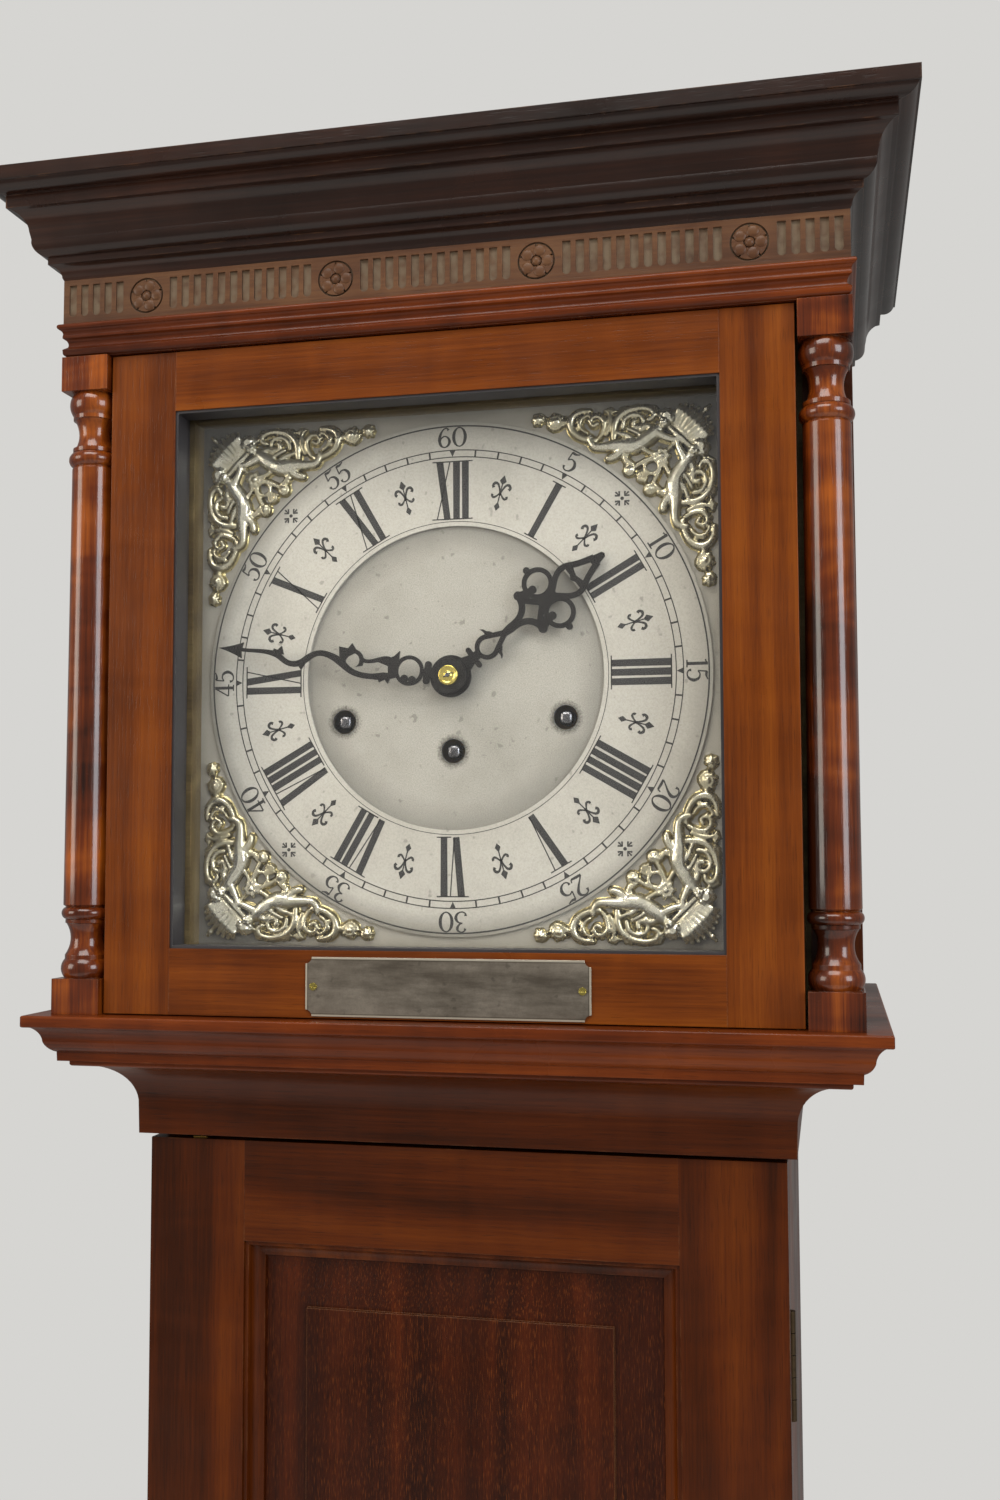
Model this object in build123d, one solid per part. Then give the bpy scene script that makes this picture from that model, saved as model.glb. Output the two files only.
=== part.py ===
from build123d import *
import math
import os

os.makedirs("parts", exist_ok=True)

# All sizes are in millimetres. X is to the right as seen from the front, Y runs from the front
# to the wall, Z is up. The origin is on the floor, in the middle of the space the clock fills.

# Heights and overall depths
dial_height = 1696.0          # dial centre above the floor
base_height = 440.0           # floor to the top of the base box
trunk_door_bottom = 500.0
hood_depth = 272.0            # frieze face to the wall
trunk_set_back = 42.0         # trunk door face behind the frieze face
frieze_half = 212.5           # half width of the frieze
trunk_set_in = 39.0           # trunk side inside the frieze's return
side_thick = 16.0             # trunk and base side boards
back_thick = 10.0             # backboard

# Hood
hood_door_up = 178.7          # dial centre to the door's top edge
hood_door_down = 179.9        # dial centre to the door's bottom edge
hood_door_thick = 20.0
hood_door_set_back = 4.0      # door face behind the frieze face
door_gap = 0.7
dial_half = 152.4             # a 12 inch dial
glass_lap_side = 5.4          # how far the door's opening stops short of the dial's edge
glass_lap_up = 6.4
glass_lap_down = 7.5
architrave_height = 18.5
frieze_height = 24.7
cornice_height = 53.2
cornice_out = 33.2            # cornice top edge beyond the frieze
column_block = 27.2           # square block at each end of a column
column_gap = 1.4              # door edge to column block
block_out = 0.5               # column block beyond the frieze's return
post_width = 25.0
post_thick = 20.0
post_gap = 0.8                # column blocks to the posts behind them
hood_side_thick = 10.0
hood_side_set_in = 4.5        # hood side behind the frieze's return
hood_moulding_height = 28.5
shelf_over = 13.0             # shelf edge beyond the frieze
slide_gap = 0.4               # hood to the throat moulding that it slides on
throat_height = 39.2
throat_out = 22.5             # top of the throat beyond the trunk
throat_gap = 2.9              # throat moulding to the trunk door
mask_thick = 12.4
mask_lap = 6.8                # mask over the dial's edge

# Glass, slip and plaque
slip_thick = 1.5
slip_set_back = 0.8
glass_thick = 2.5
glass_set_back = 13.0         # glass behind the door face
glass_lap = 5.6               # glass behind the wood on each side
lap_clearance = 0.4
plaque_width = 150.0
plaque_height = 30.5
plaque_thick = 1.0
plaque_scallop = 3.4
plaque_shift = 5.0            # plaque centre to the right of the dial centre
plaque_drop = 163.6           # plaque centre below the dial centre
plaque_screw_inset = 4.3
plaque_screw_radius = 2.0

# Trunk door
trunk_door_thick = 20.0
stile_width = 55.0
top_rail = 54.0
bottom_rail = 80.0
sticking_width = 9.0
sticking_set_back = 1.5
sticking_depth = 9.0
panel_edge_thick = 6.0
panel_lap = 4.0
bevel_width = 24.2
bevel_rise = 4.6
quirk = 1.5
quirk_rise = 1.9
hinge_length = 55.5
hinge_from_top = 106.4        # hinge middle below the door's top edge
hinge_leaf = 14.0
hinge_leaf_thick = 1.6
knuckle_radius = 2.2
knuckle_clearance = 0.4
knuckle_out = 0.2             # hinge pin beyond the side board's face
knob_radius = 9.0
latch_thick = 3.0
latch_end_gap = 1.5           # turned latch bar to the side board
keeper_thick = 2.0
keeper_out = 6.5              # keeper beyond the side board's inner face

# Base
base_front_thick = 20.0
base_stile = 62.0
base_top_rail = 58.0
base_bottom_rail = 150.0
base_moulding_height = 42.0
base_moulding_out = 47.0
skirting_height = 92.0
skirting_thick = 10.0
floor_board_bottom = 30.0
floor_board_thick = 15.0
side_foot = 60.0              # trunk sides run down into the base

# Dial
dial_set_back = 40.7          # dial face behind the frieze face
dial_thick = 2.0
ring_share = 11 / 12          # an 11 inch chapter ring
ring_hollow = 0.5906          # inner edge of the ring as a share of its outer edge
ring_thick = 1.6
winding_x = 61.5
winding_drop_side = 23.0
winding_drop_middle = 40.0
winding_hole = 6.5
hour_bush_hole = 6.6
dial_foot_radius = 2.5
dial_foot_x = 60.0
dial_foot_z = 82.0
spandrel_share = 0.636        # spandrel along each edge, as a share of the half dial
spandrel_inset = 9.5          # spandrel corner from the dial's corner
spandrel_thick = 2.6
spandrel_ring_gap = 2.4

# Hands
hand_thick = 1.2
hour_hand_gap = 4.9           # dial face to the hour hand
hand_gap = 2.8                # hour hand to the minute hand
drawn_ring = 139.7            # ring that the hands are drawn for
hour_hand_at = 53.0           # degrees clockwise from twelve, at rest
minute_hand_at = 278.2
nut_radius = 5.5
nut_height = 3.4

# Movement
plate_width = 190.0
plate_height = 200.0
plate_thick = 3.5
plates_apart = 62.0
dial_to_plate = 40.3          # dial face to the front plate
pillar_radius = 5.5
pillar_inset = 11.0
low_pillar_x = 70.0           # lower pillars, clear of the lines
pillar_nut_radius = 7.0
pillar_nut_height = 3.0
pivot_clearance = 0.05
seat_thick = 20.0
seat_over = 14.0              # seat board beyond each plate

# Going train: module of each mesh, teeth and thicknesses
great_teeth = 96
centre_pinion_teeth = 8
centre_teeth = 60
third_pinion_teeth = 8
third_teeth = 56
escape_pinion_teeth = 7
escape_teeth = 30
centre_module = 0.75
third_module = 0.75
third_x = 14.0
escape_radius = 19.0
minute_teeth = 36
minute_pinion_teeth = 6
hour_teeth = 72
motion_distance = 25.2        # centre arbor to the minute wheel's post
motion_turn = 135.0           # degrees clockwise from twelve to that post
wheel_thick = 2.0
wheel_rise = 0.8              # tooth tip above the pitch circle, in modules
wheel_drop = 1.35             # root below the pitch circle, in modules
wheel_tip = 0.09              # half of a tooth's width at its tip, as a share of the pitch
wheel_root = 0.24
leaf_rise = 0.35
leaf_drop = 1.0
leaf_tip = 0.07
leaf_root = 0.17
least_wheel_teeth = 30        # anything with fewer teeth has pinion leaves
post_radius = 0.9             # minute wheel's post
centre_arbor_radius = 2.2

# Barrels, lines, pulleys and weights
drum_radius = 22.0
drum_length = 34.0
drum_behind = 14.0            # back end of the drum to the back plate's face
flange_radius = 25.5
flange_thick = 1.5
side_wheel_radius = 33.0
side_wheel_teeth = 84
line_radius = 0.75
line_clearance = 0.3
pulley_radius = 25.0
pulley_width = 8.0
groove_width = 3.2
axle_radius = 2.0
winding_square = 4.2
weight_radius = 26.0
weight_height = 220.0
weight_below_pulley = 45.0    # pulley axle to the weight's top
weight_floor_gap = 90.0       # weights at their lowest to the floor board
pulley_top_room = 36.0        # seat board to the pulley axle with the clock fully wound

# Pendulum
pendulum_behind = 26.0        # pendulum rod to the back plate
pendulum_length = 994.0       # pivot to the middle of the bob, for a one second beat
bob_radius = 75.0
bob_thick = 34.0
rod_radius = 3.0
crutch_length = 110.0
crutch_ahead = 9.0            # crutch in front of the rod
crutch_clearance = 0.25

# Chime
chime_depth = 30.0            # rods to the wall
chime_first_x = 70.0
chime_spacing = 15.0
chime_count = 5
chime_rod_radius = 2.0
chime_longest = 430.0
chime_step = 26.0
chime_block_height = 42.0
hammer_depth = 78.0
hammer_arm = 60.0
hammer_radius = 5.0
hammer_shaft_radius = 2.0
hammer_gap = 1.6

# Planes and levels that follow from the sizes above
trunk_depth = hood_depth - trunk_set_back
trunk_half = frieze_half - trunk_set_in
base_half = frieze_half
hood_door_half = frieze_half + block_out - column_block - column_gap
glass_open_half = dial_half - glass_lap_side
glass_open_up = dial_half - glass_lap_up
glass_open_down = dial_half - glass_lap_down
mask_open_half = dial_half - mask_lap
shelf_out = frieze_half + shelf_over - trunk_half
ring_outer = dial_half * ring_share
ring_inner = ring_outer * ring_hollow
spandrel_reach = dial_half * spandrel_share
dial_depth = hood_depth - dial_set_back
hour_hand_depth = dial_depth + hour_hand_gap
minute_hand_depth = hour_hand_depth + hand_thick + hand_gap
front_plate_depth = dial_depth - dial_to_plate
wall = (hood_depth + cornice_out) / 2
hood_front = wall - hood_depth
trunk_front = wall - trunk_depth
hood_door_face = hood_front + hood_door_set_back
shelf_top = dial_height - hood_door_down - door_gap
shelf_bottom = shelf_top - hood_moulding_height
throat_top = shelf_bottom - slide_gap
throat_bottom = throat_top - throat_height
trunk_door_top = throat_bottom - throat_gap
architrave_bottom = dial_height + hood_door_up + door_gap
frieze_bottom = architrave_bottom + architrave_height
cornice_bottom = frieze_bottom + frieze_height
cornice_top = cornice_bottom + cornice_height
front_board = column_block                      # hood front boards are as deep as the blocks
post_front = hood_front + column_block + post_gap
hood_side_out = frieze_half - hood_side_set_in
hood_side_in = hood_side_out - hood_side_thick
block_in = hood_door_half + column_gap
column_x = block_in + column_block / 2
column_y = hood_front + column_block / 2
base_depth = trunk_depth + base_half - trunk_half
base_front = wall - base_depth
base_moulding_top = base_height + base_moulding_height
plate_bottom = dial_height - plate_height / 2
seat_top = plate_bottom
seat_bottom = seat_top - seat_thick
carcase_front = trunk_front + trunk_door_thick
rail_front = trunk_front + 6.0
side_in = trunk_half - side_thick
line_offset = drum_radius + line_radius + line_clearance
back_plate_depth = front_plate_depth - 2 * plate_thick - plates_apart
drum_back = back_plate_depth + drum_behind
line_depth = drum_back + drum_length / 2
seat_back = back_plate_depth - seat_over
seat_front = front_plate_depth + seat_over
pendulum_depth = back_plate_depth - pendulum_behind
crutch_depth = pendulum_depth + crutch_ahead
centre_place = back_plate_depth + 7.0           # back faces of the wheels
third_place = back_plate_depth + 18.0
escape_place = back_plate_depth + 28.0
great_place = front_plate_depth - 14.0
motion_place = front_plate_depth + 1.2
hour_place = front_plate_depth + 4.6
floor_top = floor_board_bottom + floor_board_thick
pulley_rest = floor_top + weight_floor_gap + weight_height + weight_below_pulley
weight_travel = seat_bottom - pulley_top_room - pulley_rest
great_module = 2 * winding_drop_middle / (great_teeth + centre_pinion_teeth)
motion_module = 2 * motion_distance / (minute_teeth + minute_teeth)
hour_module = 2 * motion_distance / (hour_teeth + minute_pinion_teeth)
third_distance = centre_module * (centre_teeth + third_pinion_teeth) / 2
third_z = math.sqrt(third_distance ** 2 - third_x ** 2)
escape_distance = third_module * (third_teeth + escape_pinion_teeth) / 2
escape_z = third_z + math.sqrt(escape_distance ** 2 - third_x ** 2)
anchor_z = escape_z + escape_radius * math.sqrt(2)
pivot_z = dial_height + anchor_z


def y_at(depth):
    """Y of a plane this far from the wall."""
    return wall - depth


def block(x0, x1, y0, y1, z0, z1):
    """A box between two corners."""
    return Pos((x0 + x1) / 2, (y0 + y1) / 2, (z0 + z1) / 2) * Box(x1 - x0, y1 - y0, z1 - z0)


def rod(x, z, radius, depth0, depth1):
    """A round bar along Y between two distances from the wall."""
    return Pos(x, y_at((depth0 + depth1) / 2), z) * Rot(90, 0, 0) * Cylinder(radius, abs(depth1 - depth0))


def upright(x, y, radius, z0, z1):
    """A round bar along Z."""
    return Pos(x, y, (z0 + z1) / 2) * Cylinder(radius, z1 - z0)


def mirrored(shape):
    """The same piece on the left."""
    return mirror(shape, about=Plane.YZ)


def outline(points):
    """A face from corners. A third number bows the side that leads to that corner, to its left."""
    edges = []
    for i, here in enumerate(points):
        last = points[i - 1]
        a = Vector(last[0], last[1])
        b = Vector(here[0], here[1])
        bow = here[2] if len(here) > 2 else 0
        if bow:
            along = (b - a).normalized()
            middle = (a + b) * 0.5 + Vector(-along.Y, along.X) * bow
            edges.append(ThreePointArc(a, middle, b))
        else:
            edges.append(Line(a, b))
    return make_face(edges)


def save(node, *solids):
    """Writes one sub-part. Every solid in it stays a solid of its own."""
    pieces = [s for shape in solids for s in shape.solids()]
    shape = pieces[0] if len(pieces) == 1 else Compound(children=pieces)
    shape.label = node
    export_step(shape, f"parts/{node}.step")


def surround(points, half, front, backing_front, backing_side):
    """Front and two returns of a moulding, mitred. Points are (out from the face, height)."""
    top = max(p[1] for p in points)
    low = min(p[1] for p in points)
    far = 80.0
    plane_front = Plane((0, front, 0), x_dir=(0, -1, 0), z_dir=(-1, 0, 0))
    plane_side = Plane((half, 0, 0), x_dir=(1, 0, 0), z_dir=(0, -1, 0))
    face_front = plane_front * outline([(-backing_front, low)] + points + [(-backing_front, top)])
    face_side = plane_side * outline([(-backing_side, low)] + points + [(-backing_side, top)])
    wedge = Pos(0, 0, low - 1) * extrude(
        Polygon((0, front + half), (-half - far, front - far), (half + far, front - far), align=None),
        top - low + 2)
    bar = extrude(face_front, half + far, both=True) & wedge
    span = (wall - front + far) / 2
    middle = (wall + front - far) / 2
    return_bar = (Pos(0, middle, 0) * extrude(face_side, span, both=True)) - wedge
    return bar, return_bar, mirrored(return_bar)


def picture_frame(half, low, high, points, y):
    """Four mitred lengths of moulding inside an opening. Points are (in from the edge, y)."""
    width, height = 2 * half, high - low
    reach = max(p[0] for p in points)
    pieces = []
    for length, turn in ((width, 0), (height, 90), (width, 180), (height, 270)):
        rise = height / 2 if turn in (0, 180) else width / 2
        plane = Plane((0, 0, -rise), x_dir=(0, 0, 1), z_dir=(1, 0, 0))
        face = plane * outline([(p[0], -p[1], -sum(p[2:])) for p in points])
        bar = extrude(face, length / 2, both=True)
        slope = length / 2 - reach
        keep = Plane((0, 0, -rise), x_dir=(1, 0, 0), z_dir=(0, -1, 0)) * Polygon(
            (-length / 2, 0), (length / 2, 0), (slope, reach), (-slope, reach), align=None)
        bar = bar & extrude(keep, 100, both=True)
        pieces.append(Pos(0, y, (low + high) / 2) * Rot(0, turn, 0) * bar)
    return pieces


def fielded_panel(half, low, high, y, lap, edge_thick):
    """A raised panel: thin edge in its groove, wide bevel, small step, flat field."""
    def slab(grow, y0, y1):
        return block(-half - grow, half + grow, y0, y1, low - grow, high + grow)
    edge = slab(lap, y, y + edge_thick)
    plane_back = Plane((0, y, (low + high) / 2), x_dir=(1, 0, 0), z_dir=(0, -1, 0))
    plane_top = Plane((0, y - bevel_rise, (low + high) / 2), x_dir=(1, 0, 0), z_dir=(0, -1, 0))
    outer = plane_back * Rectangle(2 * half, high - low)
    inner = plane_top * Rectangle(2 * (half - bevel_width), high - low - 2 * bevel_width)
    bevel = loft([outer.face(), inner.face()])
    field = slab(-bevel_width - quirk, y - bevel_rise - quirk_rise, y)
    return edge + bevel + field


# Case

def make_skirting():
    top = skirting_height
    points = [(skirting_thick, 0), (skirting_thick, top - 13), (skirting_thick - 3, top - 8, -0.9),
              (2.5, top - 1.5, 1.0), (2.5, top)]
    save("plinth_skirting", *surround(points, base_half, base_front, 0, 0))


def make_base():
    low, high = 0, base_height
    y0, y1 = base_front, base_front + base_front_thick
    inner = base_half - base_stile
    stile = block(inner, base_half, y0, y1, low, high)
    top = block(-inner, inner, y0, y1, high - base_top_rail, high)
    bottom = block(-inner, inner, y0, y1, low, base_bottom_rail)
    groove_y = y0 + sticking_set_back + sticking_depth
    open_low, open_high = base_bottom_rail, high - base_top_rail
    save("base_front_frame", stile, mirrored(stile), top, bottom)
    save("base_panel", fielded_panel(inner - lap_clearance, open_low + lap_clearance,
                                     open_high - lap_clearance, groove_y, 0, panel_edge_thick))
    side = block(base_half - side_thick, base_half, y1, wall, 0, high)
    strip_top = high
    strip = block(trunk_half, base_half - side_thick, carcase_front, wall - back_thick,
                  strip_top - side_foot, strip_top)
    board = block(side_thick - base_half, base_half - side_thick, y1, wall - back_thick,
                  floor_board_bottom, floor_board_bottom + floor_board_thick)
    save("base_carcase", side, mirrored(side), strip, mirrored(strip), board)
    z, out = base_height, base_moulding_out
    rise = base_moulding_height
    points = [(out - 2, z), (out - 2, z + 8, -2.0), (out - 4, z + 8.4), (out - 4, z + 11.6),
              (out - 12, z + 19, -2.0), (out - 14, z + 19.4), (out - 14, z + 22.6),
              (5.4, z + rise - 3, 6.5), (5, z + rise)]
    save("base_moulding", *surround(points, trunk_half, trunk_front, rail_front - trunk_front, 0))


def make_trunk_carcase():
    leaf_x = trunk_half - hinge_leaf
    side = block(side_in, trunk_half, carcase_front, wall, base_height - side_foot, seat_bottom)
    side -= block(side_in - 1, trunk_half + 1, wall - back_thick, wall + 1, shelf_top, seat_bottom + 1)
    right = side
    for z in hinge_levels():
        low, high = z - hinge_length / 2, z + hinge_length / 2
        right -= block(leaf_x, trunk_half + 1, carcase_front - 1, carcase_front + hinge_leaf_thick,
                       low, high)
        right -= upright(hinge_x(), carcase_front, knuckle_radius + knuckle_clearance, low, high)
    rail_back = carcase_front + 8
    top = block(-side_in, side_in, rail_front, rail_back, throat_bottom, throat_top)
    cheek = block(side_in, trunk_half, rail_front, carcase_front, throat_bottom, throat_top)
    low_rail = block(-side_in, side_in, rail_front, rail_back, base_height, trunk_door_bottom - throat_gap)
    low_end = block(side_in, trunk_half, rail_front, carcase_front, base_height,
                    trunk_door_bottom - throat_gap)
    top = top + cheek + mirrored(cheek)
    low_rail = low_rail + low_end + mirrored(low_end)
    save("trunk_carcase", right, mirrored(side), top, low_rail, make_seat_board())
    throat = [(5.2, throat_bottom), (5.6, throat_top - 21), (throat_out, throat_top - 0.8, 4.0),
              (throat_out, throat_top)]
    save("throat_moulding", *surround(throat, trunk_half, trunk_front, rail_front - trunk_front, 0))


def make_seat_board():
    board = block(-trunk_half, trunk_half, y_at(seat_front), y_at(seat_back), seat_bottom, seat_top)
    slot_half_x = 5.0
    slot_half_y = drum_length / 2 + 2
    for x in winding_places():
        cut = block(x - line_offset - slot_half_x, x - line_offset + slot_half_x,
                    y_at(line_depth) - slot_half_y, y_at(line_depth) + slot_half_y,
                    seat_bottom - 1, seat_top + 1)
        board -= cut
    return board


def winding_places():
    return (-winding_x, 0.0, winding_x)


def winding_drop(x):
    return winding_drop_middle if x == 0 else winding_drop_side


def make_backboard():
    """One long board, with ears glued on where the hood and the base are wider than the trunk."""
    low = floor_board_bottom
    foot_top = base_height - side_foot
    room = 0.6
    y0 = wall - back_thick
    top = cornice_top - 20 - room
    board = block(-side_in, side_in, y0, wall, low, top)
    base_ear = block(side_in, base_half - side_thick, y0, wall, low, foot_top)
    hood_ear = block(side_in, hood_side_in - room, y0, wall, shelf_top + room, top)
    save("backboard", board, base_ear, mirrored(base_ear), hood_ear, mirrored(hood_ear))


def hinge_levels():
    return (trunk_door_top - hinge_from_top, trunk_door_bottom + hinge_from_top)


def hinge_x():
    return trunk_half + knuckle_out


def knuckles(z, which):
    """Every second knuckle of a five knuckle butt hinge."""
    count = 5
    gap = 0.25
    pitch = hinge_length / count
    solids = []
    for i in range(count):
        if i % 2 == which:
            low = z - hinge_length / 2 + i * pitch
            solids.append(upright(hinge_x(), carcase_front, knuckle_radius, low + gap, low + pitch - gap))
    return solids


def make_hinges():
    pin_radius = 1.1
    leaf_x = trunk_half - hinge_leaf
    case_pieces, door_pieces = [], []
    for z in hinge_levels():
        low, high = z - hinge_length / 2, z + hinge_length / 2
        pin = upright(hinge_x(), carcase_front, pin_radius, low, high)
        bore = upright(hinge_x(), carcase_front, pin_radius + pivot_clearance, low - 1, high + 1)
        room = knuckle_radius + knuckle_clearance
        case_leaf = block(leaf_x, hinge_x(), carcase_front, carcase_front + hinge_leaf_thick, low, high)
        door_leaf = block(leaf_x, hinge_x(), carcase_front - hinge_leaf_thick, carcase_front, low, high)
        case_turns = knuckles(z, 1)
        door_turns = knuckles(z, 0)
        pitch = hinge_length / 5
        for i in range(5):
            z0 = low + i * pitch
            space = upright(hinge_x(), carcase_front, room, z0, z0 + pitch)
            if i % 2:
                door_leaf -= space
            else:
                case_leaf -= space
        for turn in case_turns:
            case_leaf += turn
        for turn in door_turns:
            door_leaf += turn
        case_pieces.append(case_leaf + pin)
        door_pieces.append(door_leaf - bore)
    knob_z = (trunk_door_bottom + trunk_door_top) / 2
    keeper = block(-side_in, keeper_out - side_in, carcase_front + 0.3, carcase_front + 0.3 + keeper_thick,
                   knob_z - 14, knob_z + 14)
    save("trunk_hinge_plates", *case_pieces, keeper)
    save("trunk_hinge_flaps", *door_pieces)


def make_trunk_door():
    y0, y1 = trunk_front, carcase_front
    low, high = trunk_door_bottom, trunk_door_top
    inner = trunk_half - stile_width
    stile = block(inner, trunk_half, y0, y1, low, high)
    groove_y = y0 + sticking_set_back + sticking_depth
    open_low, open_high = low + bottom_rail, high - top_rail
    rebate = block(-inner - panel_lap, inner + panel_lap, groove_y, y1 + 1,
                   open_low - panel_lap, open_high + panel_lap)
    right = stile - rebate
    leaf_x = trunk_half - hinge_leaf
    for z in hinge_levels():
        z0, z1 = z - hinge_length / 2, z + hinge_length / 2
        right -= block(leaf_x, trunk_half + 1, y1 - hinge_leaf_thick, y1 + 1, z0, z1)
        right -= upright(hinge_x(), carcase_front, knuckle_radius + knuckle_clearance, z0, z1)
    knob_z = (low + high) / 2
    knob_x = -trunk_half + stile_width / 2
    spindle = 3.0
    left = mirrored(stile - rebate)
    spindle_bore = Cylinder(spindle + pivot_clearance, 3 * trunk_door_thick)
    left -= Pos(knob_x, y0, knob_z) * Rot(90, 0, 0) * spindle_bore
    save("trunk_door_stiles", right, left)
    top = block(-inner, inner, y0, y1, open_high, high) - rebate
    bottom = block(-inner, inner, y0, y1, low, open_low) - rebate
    save("trunk_door_rails", top, bottom)
    back = sticking_set_back + sticking_depth
    profile = [(0, back), (0, sticking_set_back), (2.2, sticking_set_back), (2.6, sticking_set_back + 1.4),
               (sticking_width - 1.4, back - 1.8, 1.6), (sticking_width, back - 1.6), (sticking_width, back)]
    save("trunk_door_sticking", *picture_frame(inner, open_low, open_high, profile, y0))
    save("trunk_door_panel", fielded_panel(inner - sticking_width, open_low + sticking_width,
                                           open_high - sticking_width, groove_y,
                                           sticking_width + panel_lap - lap_clearance, panel_edge_thick))
    play = 0.3
    back_end = trunk_door_thick + keeper_thick + 2 * play
    knob = revolve(Plane((knob_x, y0, knob_z), x_dir=(1, 0, 0), z_dir=(0, 0, 1)) * outline(
        [(0, -20), (knob_radius - 3, -20), (knob_radius, -15, 1.2), (knob_radius - 4, -9, 1.0),
         (4, -4), (knob_radius - 1, -2), (knob_radius - 1, -play), (spindle, -play),
         (spindle, back_end), (0, back_end)]), Axis((knob_x, y0, knob_z), (0, 1, 0)))
    reach = stile_width / 2 - side_thick - latch_end_gap
    latch = block(knob_x - 5, knob_x + 5, y0 + back_end, y0 + back_end + latch_thick,
                  knob_z - 6, knob_z + reach)
    save("trunk_door_latch", knob, latch)
    catch_x = -trunk_half + 27.5
    catch = block(catch_x - 4, catch_x + 4, y0 + 3, y0 + 11, high, high + 0.8)
    dome = Pos(catch_x, y0 + 7, high + 0.8) * Sphere(1.6)
    dome -= block(catch_x - 4, catch_x + 4, y0, y0 + 14, high - 2, high + 0.8)
    save("trunk_door_catch", catch + dome)


# Hood

def make_hood_body():
    top = cornice_top - 12
    side = block(hood_side_in, hood_side_out, post_front + post_thick, wall, shelf_top, top)
    post = block(frieze_half - post_width, frieze_half, post_front, post_front + post_thick,
                 shelf_top, cornice_bottom)
    post -= block(hood_side_out, frieze_half + 1, post_front - 1, wall,
                  architrave_bottom, cornice_bottom + 1)
    save("hood_sides", side, mirrored(side), post, mirrored(post))
    board_thick = 8
    save("hood_top_board", block(-hood_side_in, hood_side_in, post_front, wall - 1,
                                 top - board_thick, top))


def make_cornice():
    z = cornice_bottom
    out = cornice_out
    points = [(0, z), (0.8, z + 1.4), (6.0, z + 7.2, 1.5), (6.5, z + 7.3), (6.5, z + 11), (7.6, z + 11.2),
              (13.0, z + 19.4, -1.9), (14.0, z + 24), (20.5, z + 33.6, 1.6), (23.0, z + 34.0),
              (23.0, z + 40.8), (24.4, z + 41.2), (out - 1, z + 45.4, -1.6), (out, z + 45.6),
              (out, z + cornice_height)]
    pieces = surround(points, frieze_half, hood_front, front_board, hood_side_set_in)
    save("cornice", *pieces)


def make_architrave():
    z = architrave_bottom
    high = architrave_height
    points = [(-2.0, z), (-2.0, z + 0.4), (0.1, z + 1.8, -0.3), (0.3, z + 4.2), (-1.9, z + 6.0),
              (0.0, z + 10.4, 1.0), (0.3, z + 10.6), (0.3, z + 11.8), (1.3, z + 15.0, 0.6),
              (1.3, z + high - 0.3, -1.4), (0.4, z + high)]
    front, right, left = surround(points, frieze_half, hood_front, front_board, hood_side_set_in)
    bore = upright(door_pin_x(), door_pin_y(), door_pin_radius() + pivot_clearance,
                   z - 1, z + door_pin_length() + 1)
    save("architrave", front - bore, right, left)


def flute_places():
    """X of each flute and each rosette along the frieze."""
    rosette_pitch = 0.51153 * frieze_half
    group = 12
    pitch = 0.0644 * rosette_pitch
    flutes, rosettes = [], []
    for k in range(-2, 2):
        rosettes.append((k + 0.5) * rosette_pitch)
    for k in range(-2, 3):
        for i in range(group):
            x = k * rosette_pitch + (i - (group - 1) / 2) * pitch
            if abs(x) < frieze_half - 5:
                flutes.append(x)
    return flutes, rosettes


def make_frieze():
    points = [(0, frieze_bottom), (0, cornice_bottom)]
    front, right, left = surround(points, frieze_half, hood_front, front_board, hood_side_set_in)
    flutes, rosettes = flute_places()
    flute_half = 2.15
    flute_top = cornice_bottom - 3.2
    flute_low = frieze_bottom + 4.0
    deep = 1.5
    plane = Plane((0, hood_front + deep, 0), x_dir=(1, 0, 0), z_dir=(0, -1, 0))
    for x in flutes:
        shape = outline([(x - flute_half, flute_top), (x - flute_half, flute_low + flute_half),
                         (x + flute_half, flute_low + flute_half, -flute_half), (x + flute_half, flute_top)])
        front -= extrude(plane * shape, 2 * deep)
    middle = (frieze_bottom + cornice_bottom) / 2
    rim, rim_width, eye = 9.8, 0.9, 2.4
    for x in rosettes:
        groove = Pos(x, middle) * (Circle(rim) - Circle(rim - rim_width))
        groove += Pos(x, middle) * (Circle(eye + 0.6) - Circle(eye))
        for petal in range(5):
            turn = 90 + petal * 72
            spoke = Pos((rim + eye) / 2, 0) * Rectangle(rim - eye, rim_width)
            groove += Pos(x, middle) * Rot(0, 0, turn) * spoke
        front -= extrude(plane * groove, 2 * deep)
    save("carved_frieze", front, right, left)


def column_profile():
    """Half outline of a turned column, as (radius, height above the dial centre)."""
    torus, neck_top, neck_low, shaft_top, shaft_low = 13.8, 8.6, 9.2, 12.1, 13.0
    ring = 13.9
    fillet_radius = 11.8
    top, low = 160.2, -161.6
    return [(0, low), (torus - 2.0, low), (torus - 2.0, low + 10.2, -2.0), (fillet_radius, low + 10.6),
            (fillet_radius, low + 12.4), (fillet_radius - 0.6, low + 29.4, fillet_radius - neck_low),
            (fillet_radius, low + 29.6), (fillet_radius, low + 31.4), (ring - 2.4, low + 31.6),
            (ring - 2.4, low + 38.2, -2.4), (shaft_low, low + 39.4), (shaft_top, top - 42.2),
            (ring - 2.4, top - 41.0), (ring - 2.4, top - 33.0, -2.4), (fillet_radius, top - 32.8),
            (fillet_radius, top - 30.6), (fillet_radius - 1.4, top - 30.2),
            (fillet_radius - 1.0, top - 14.6, fillet_radius - 1.2 - neck_top),
            (fillet_radius, top - 14.4), (fillet_radius, top - 12.6),
            (torus - 2.0, top - 12.2), (torus - 2.0, top, -2.0), (0, top)]


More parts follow.
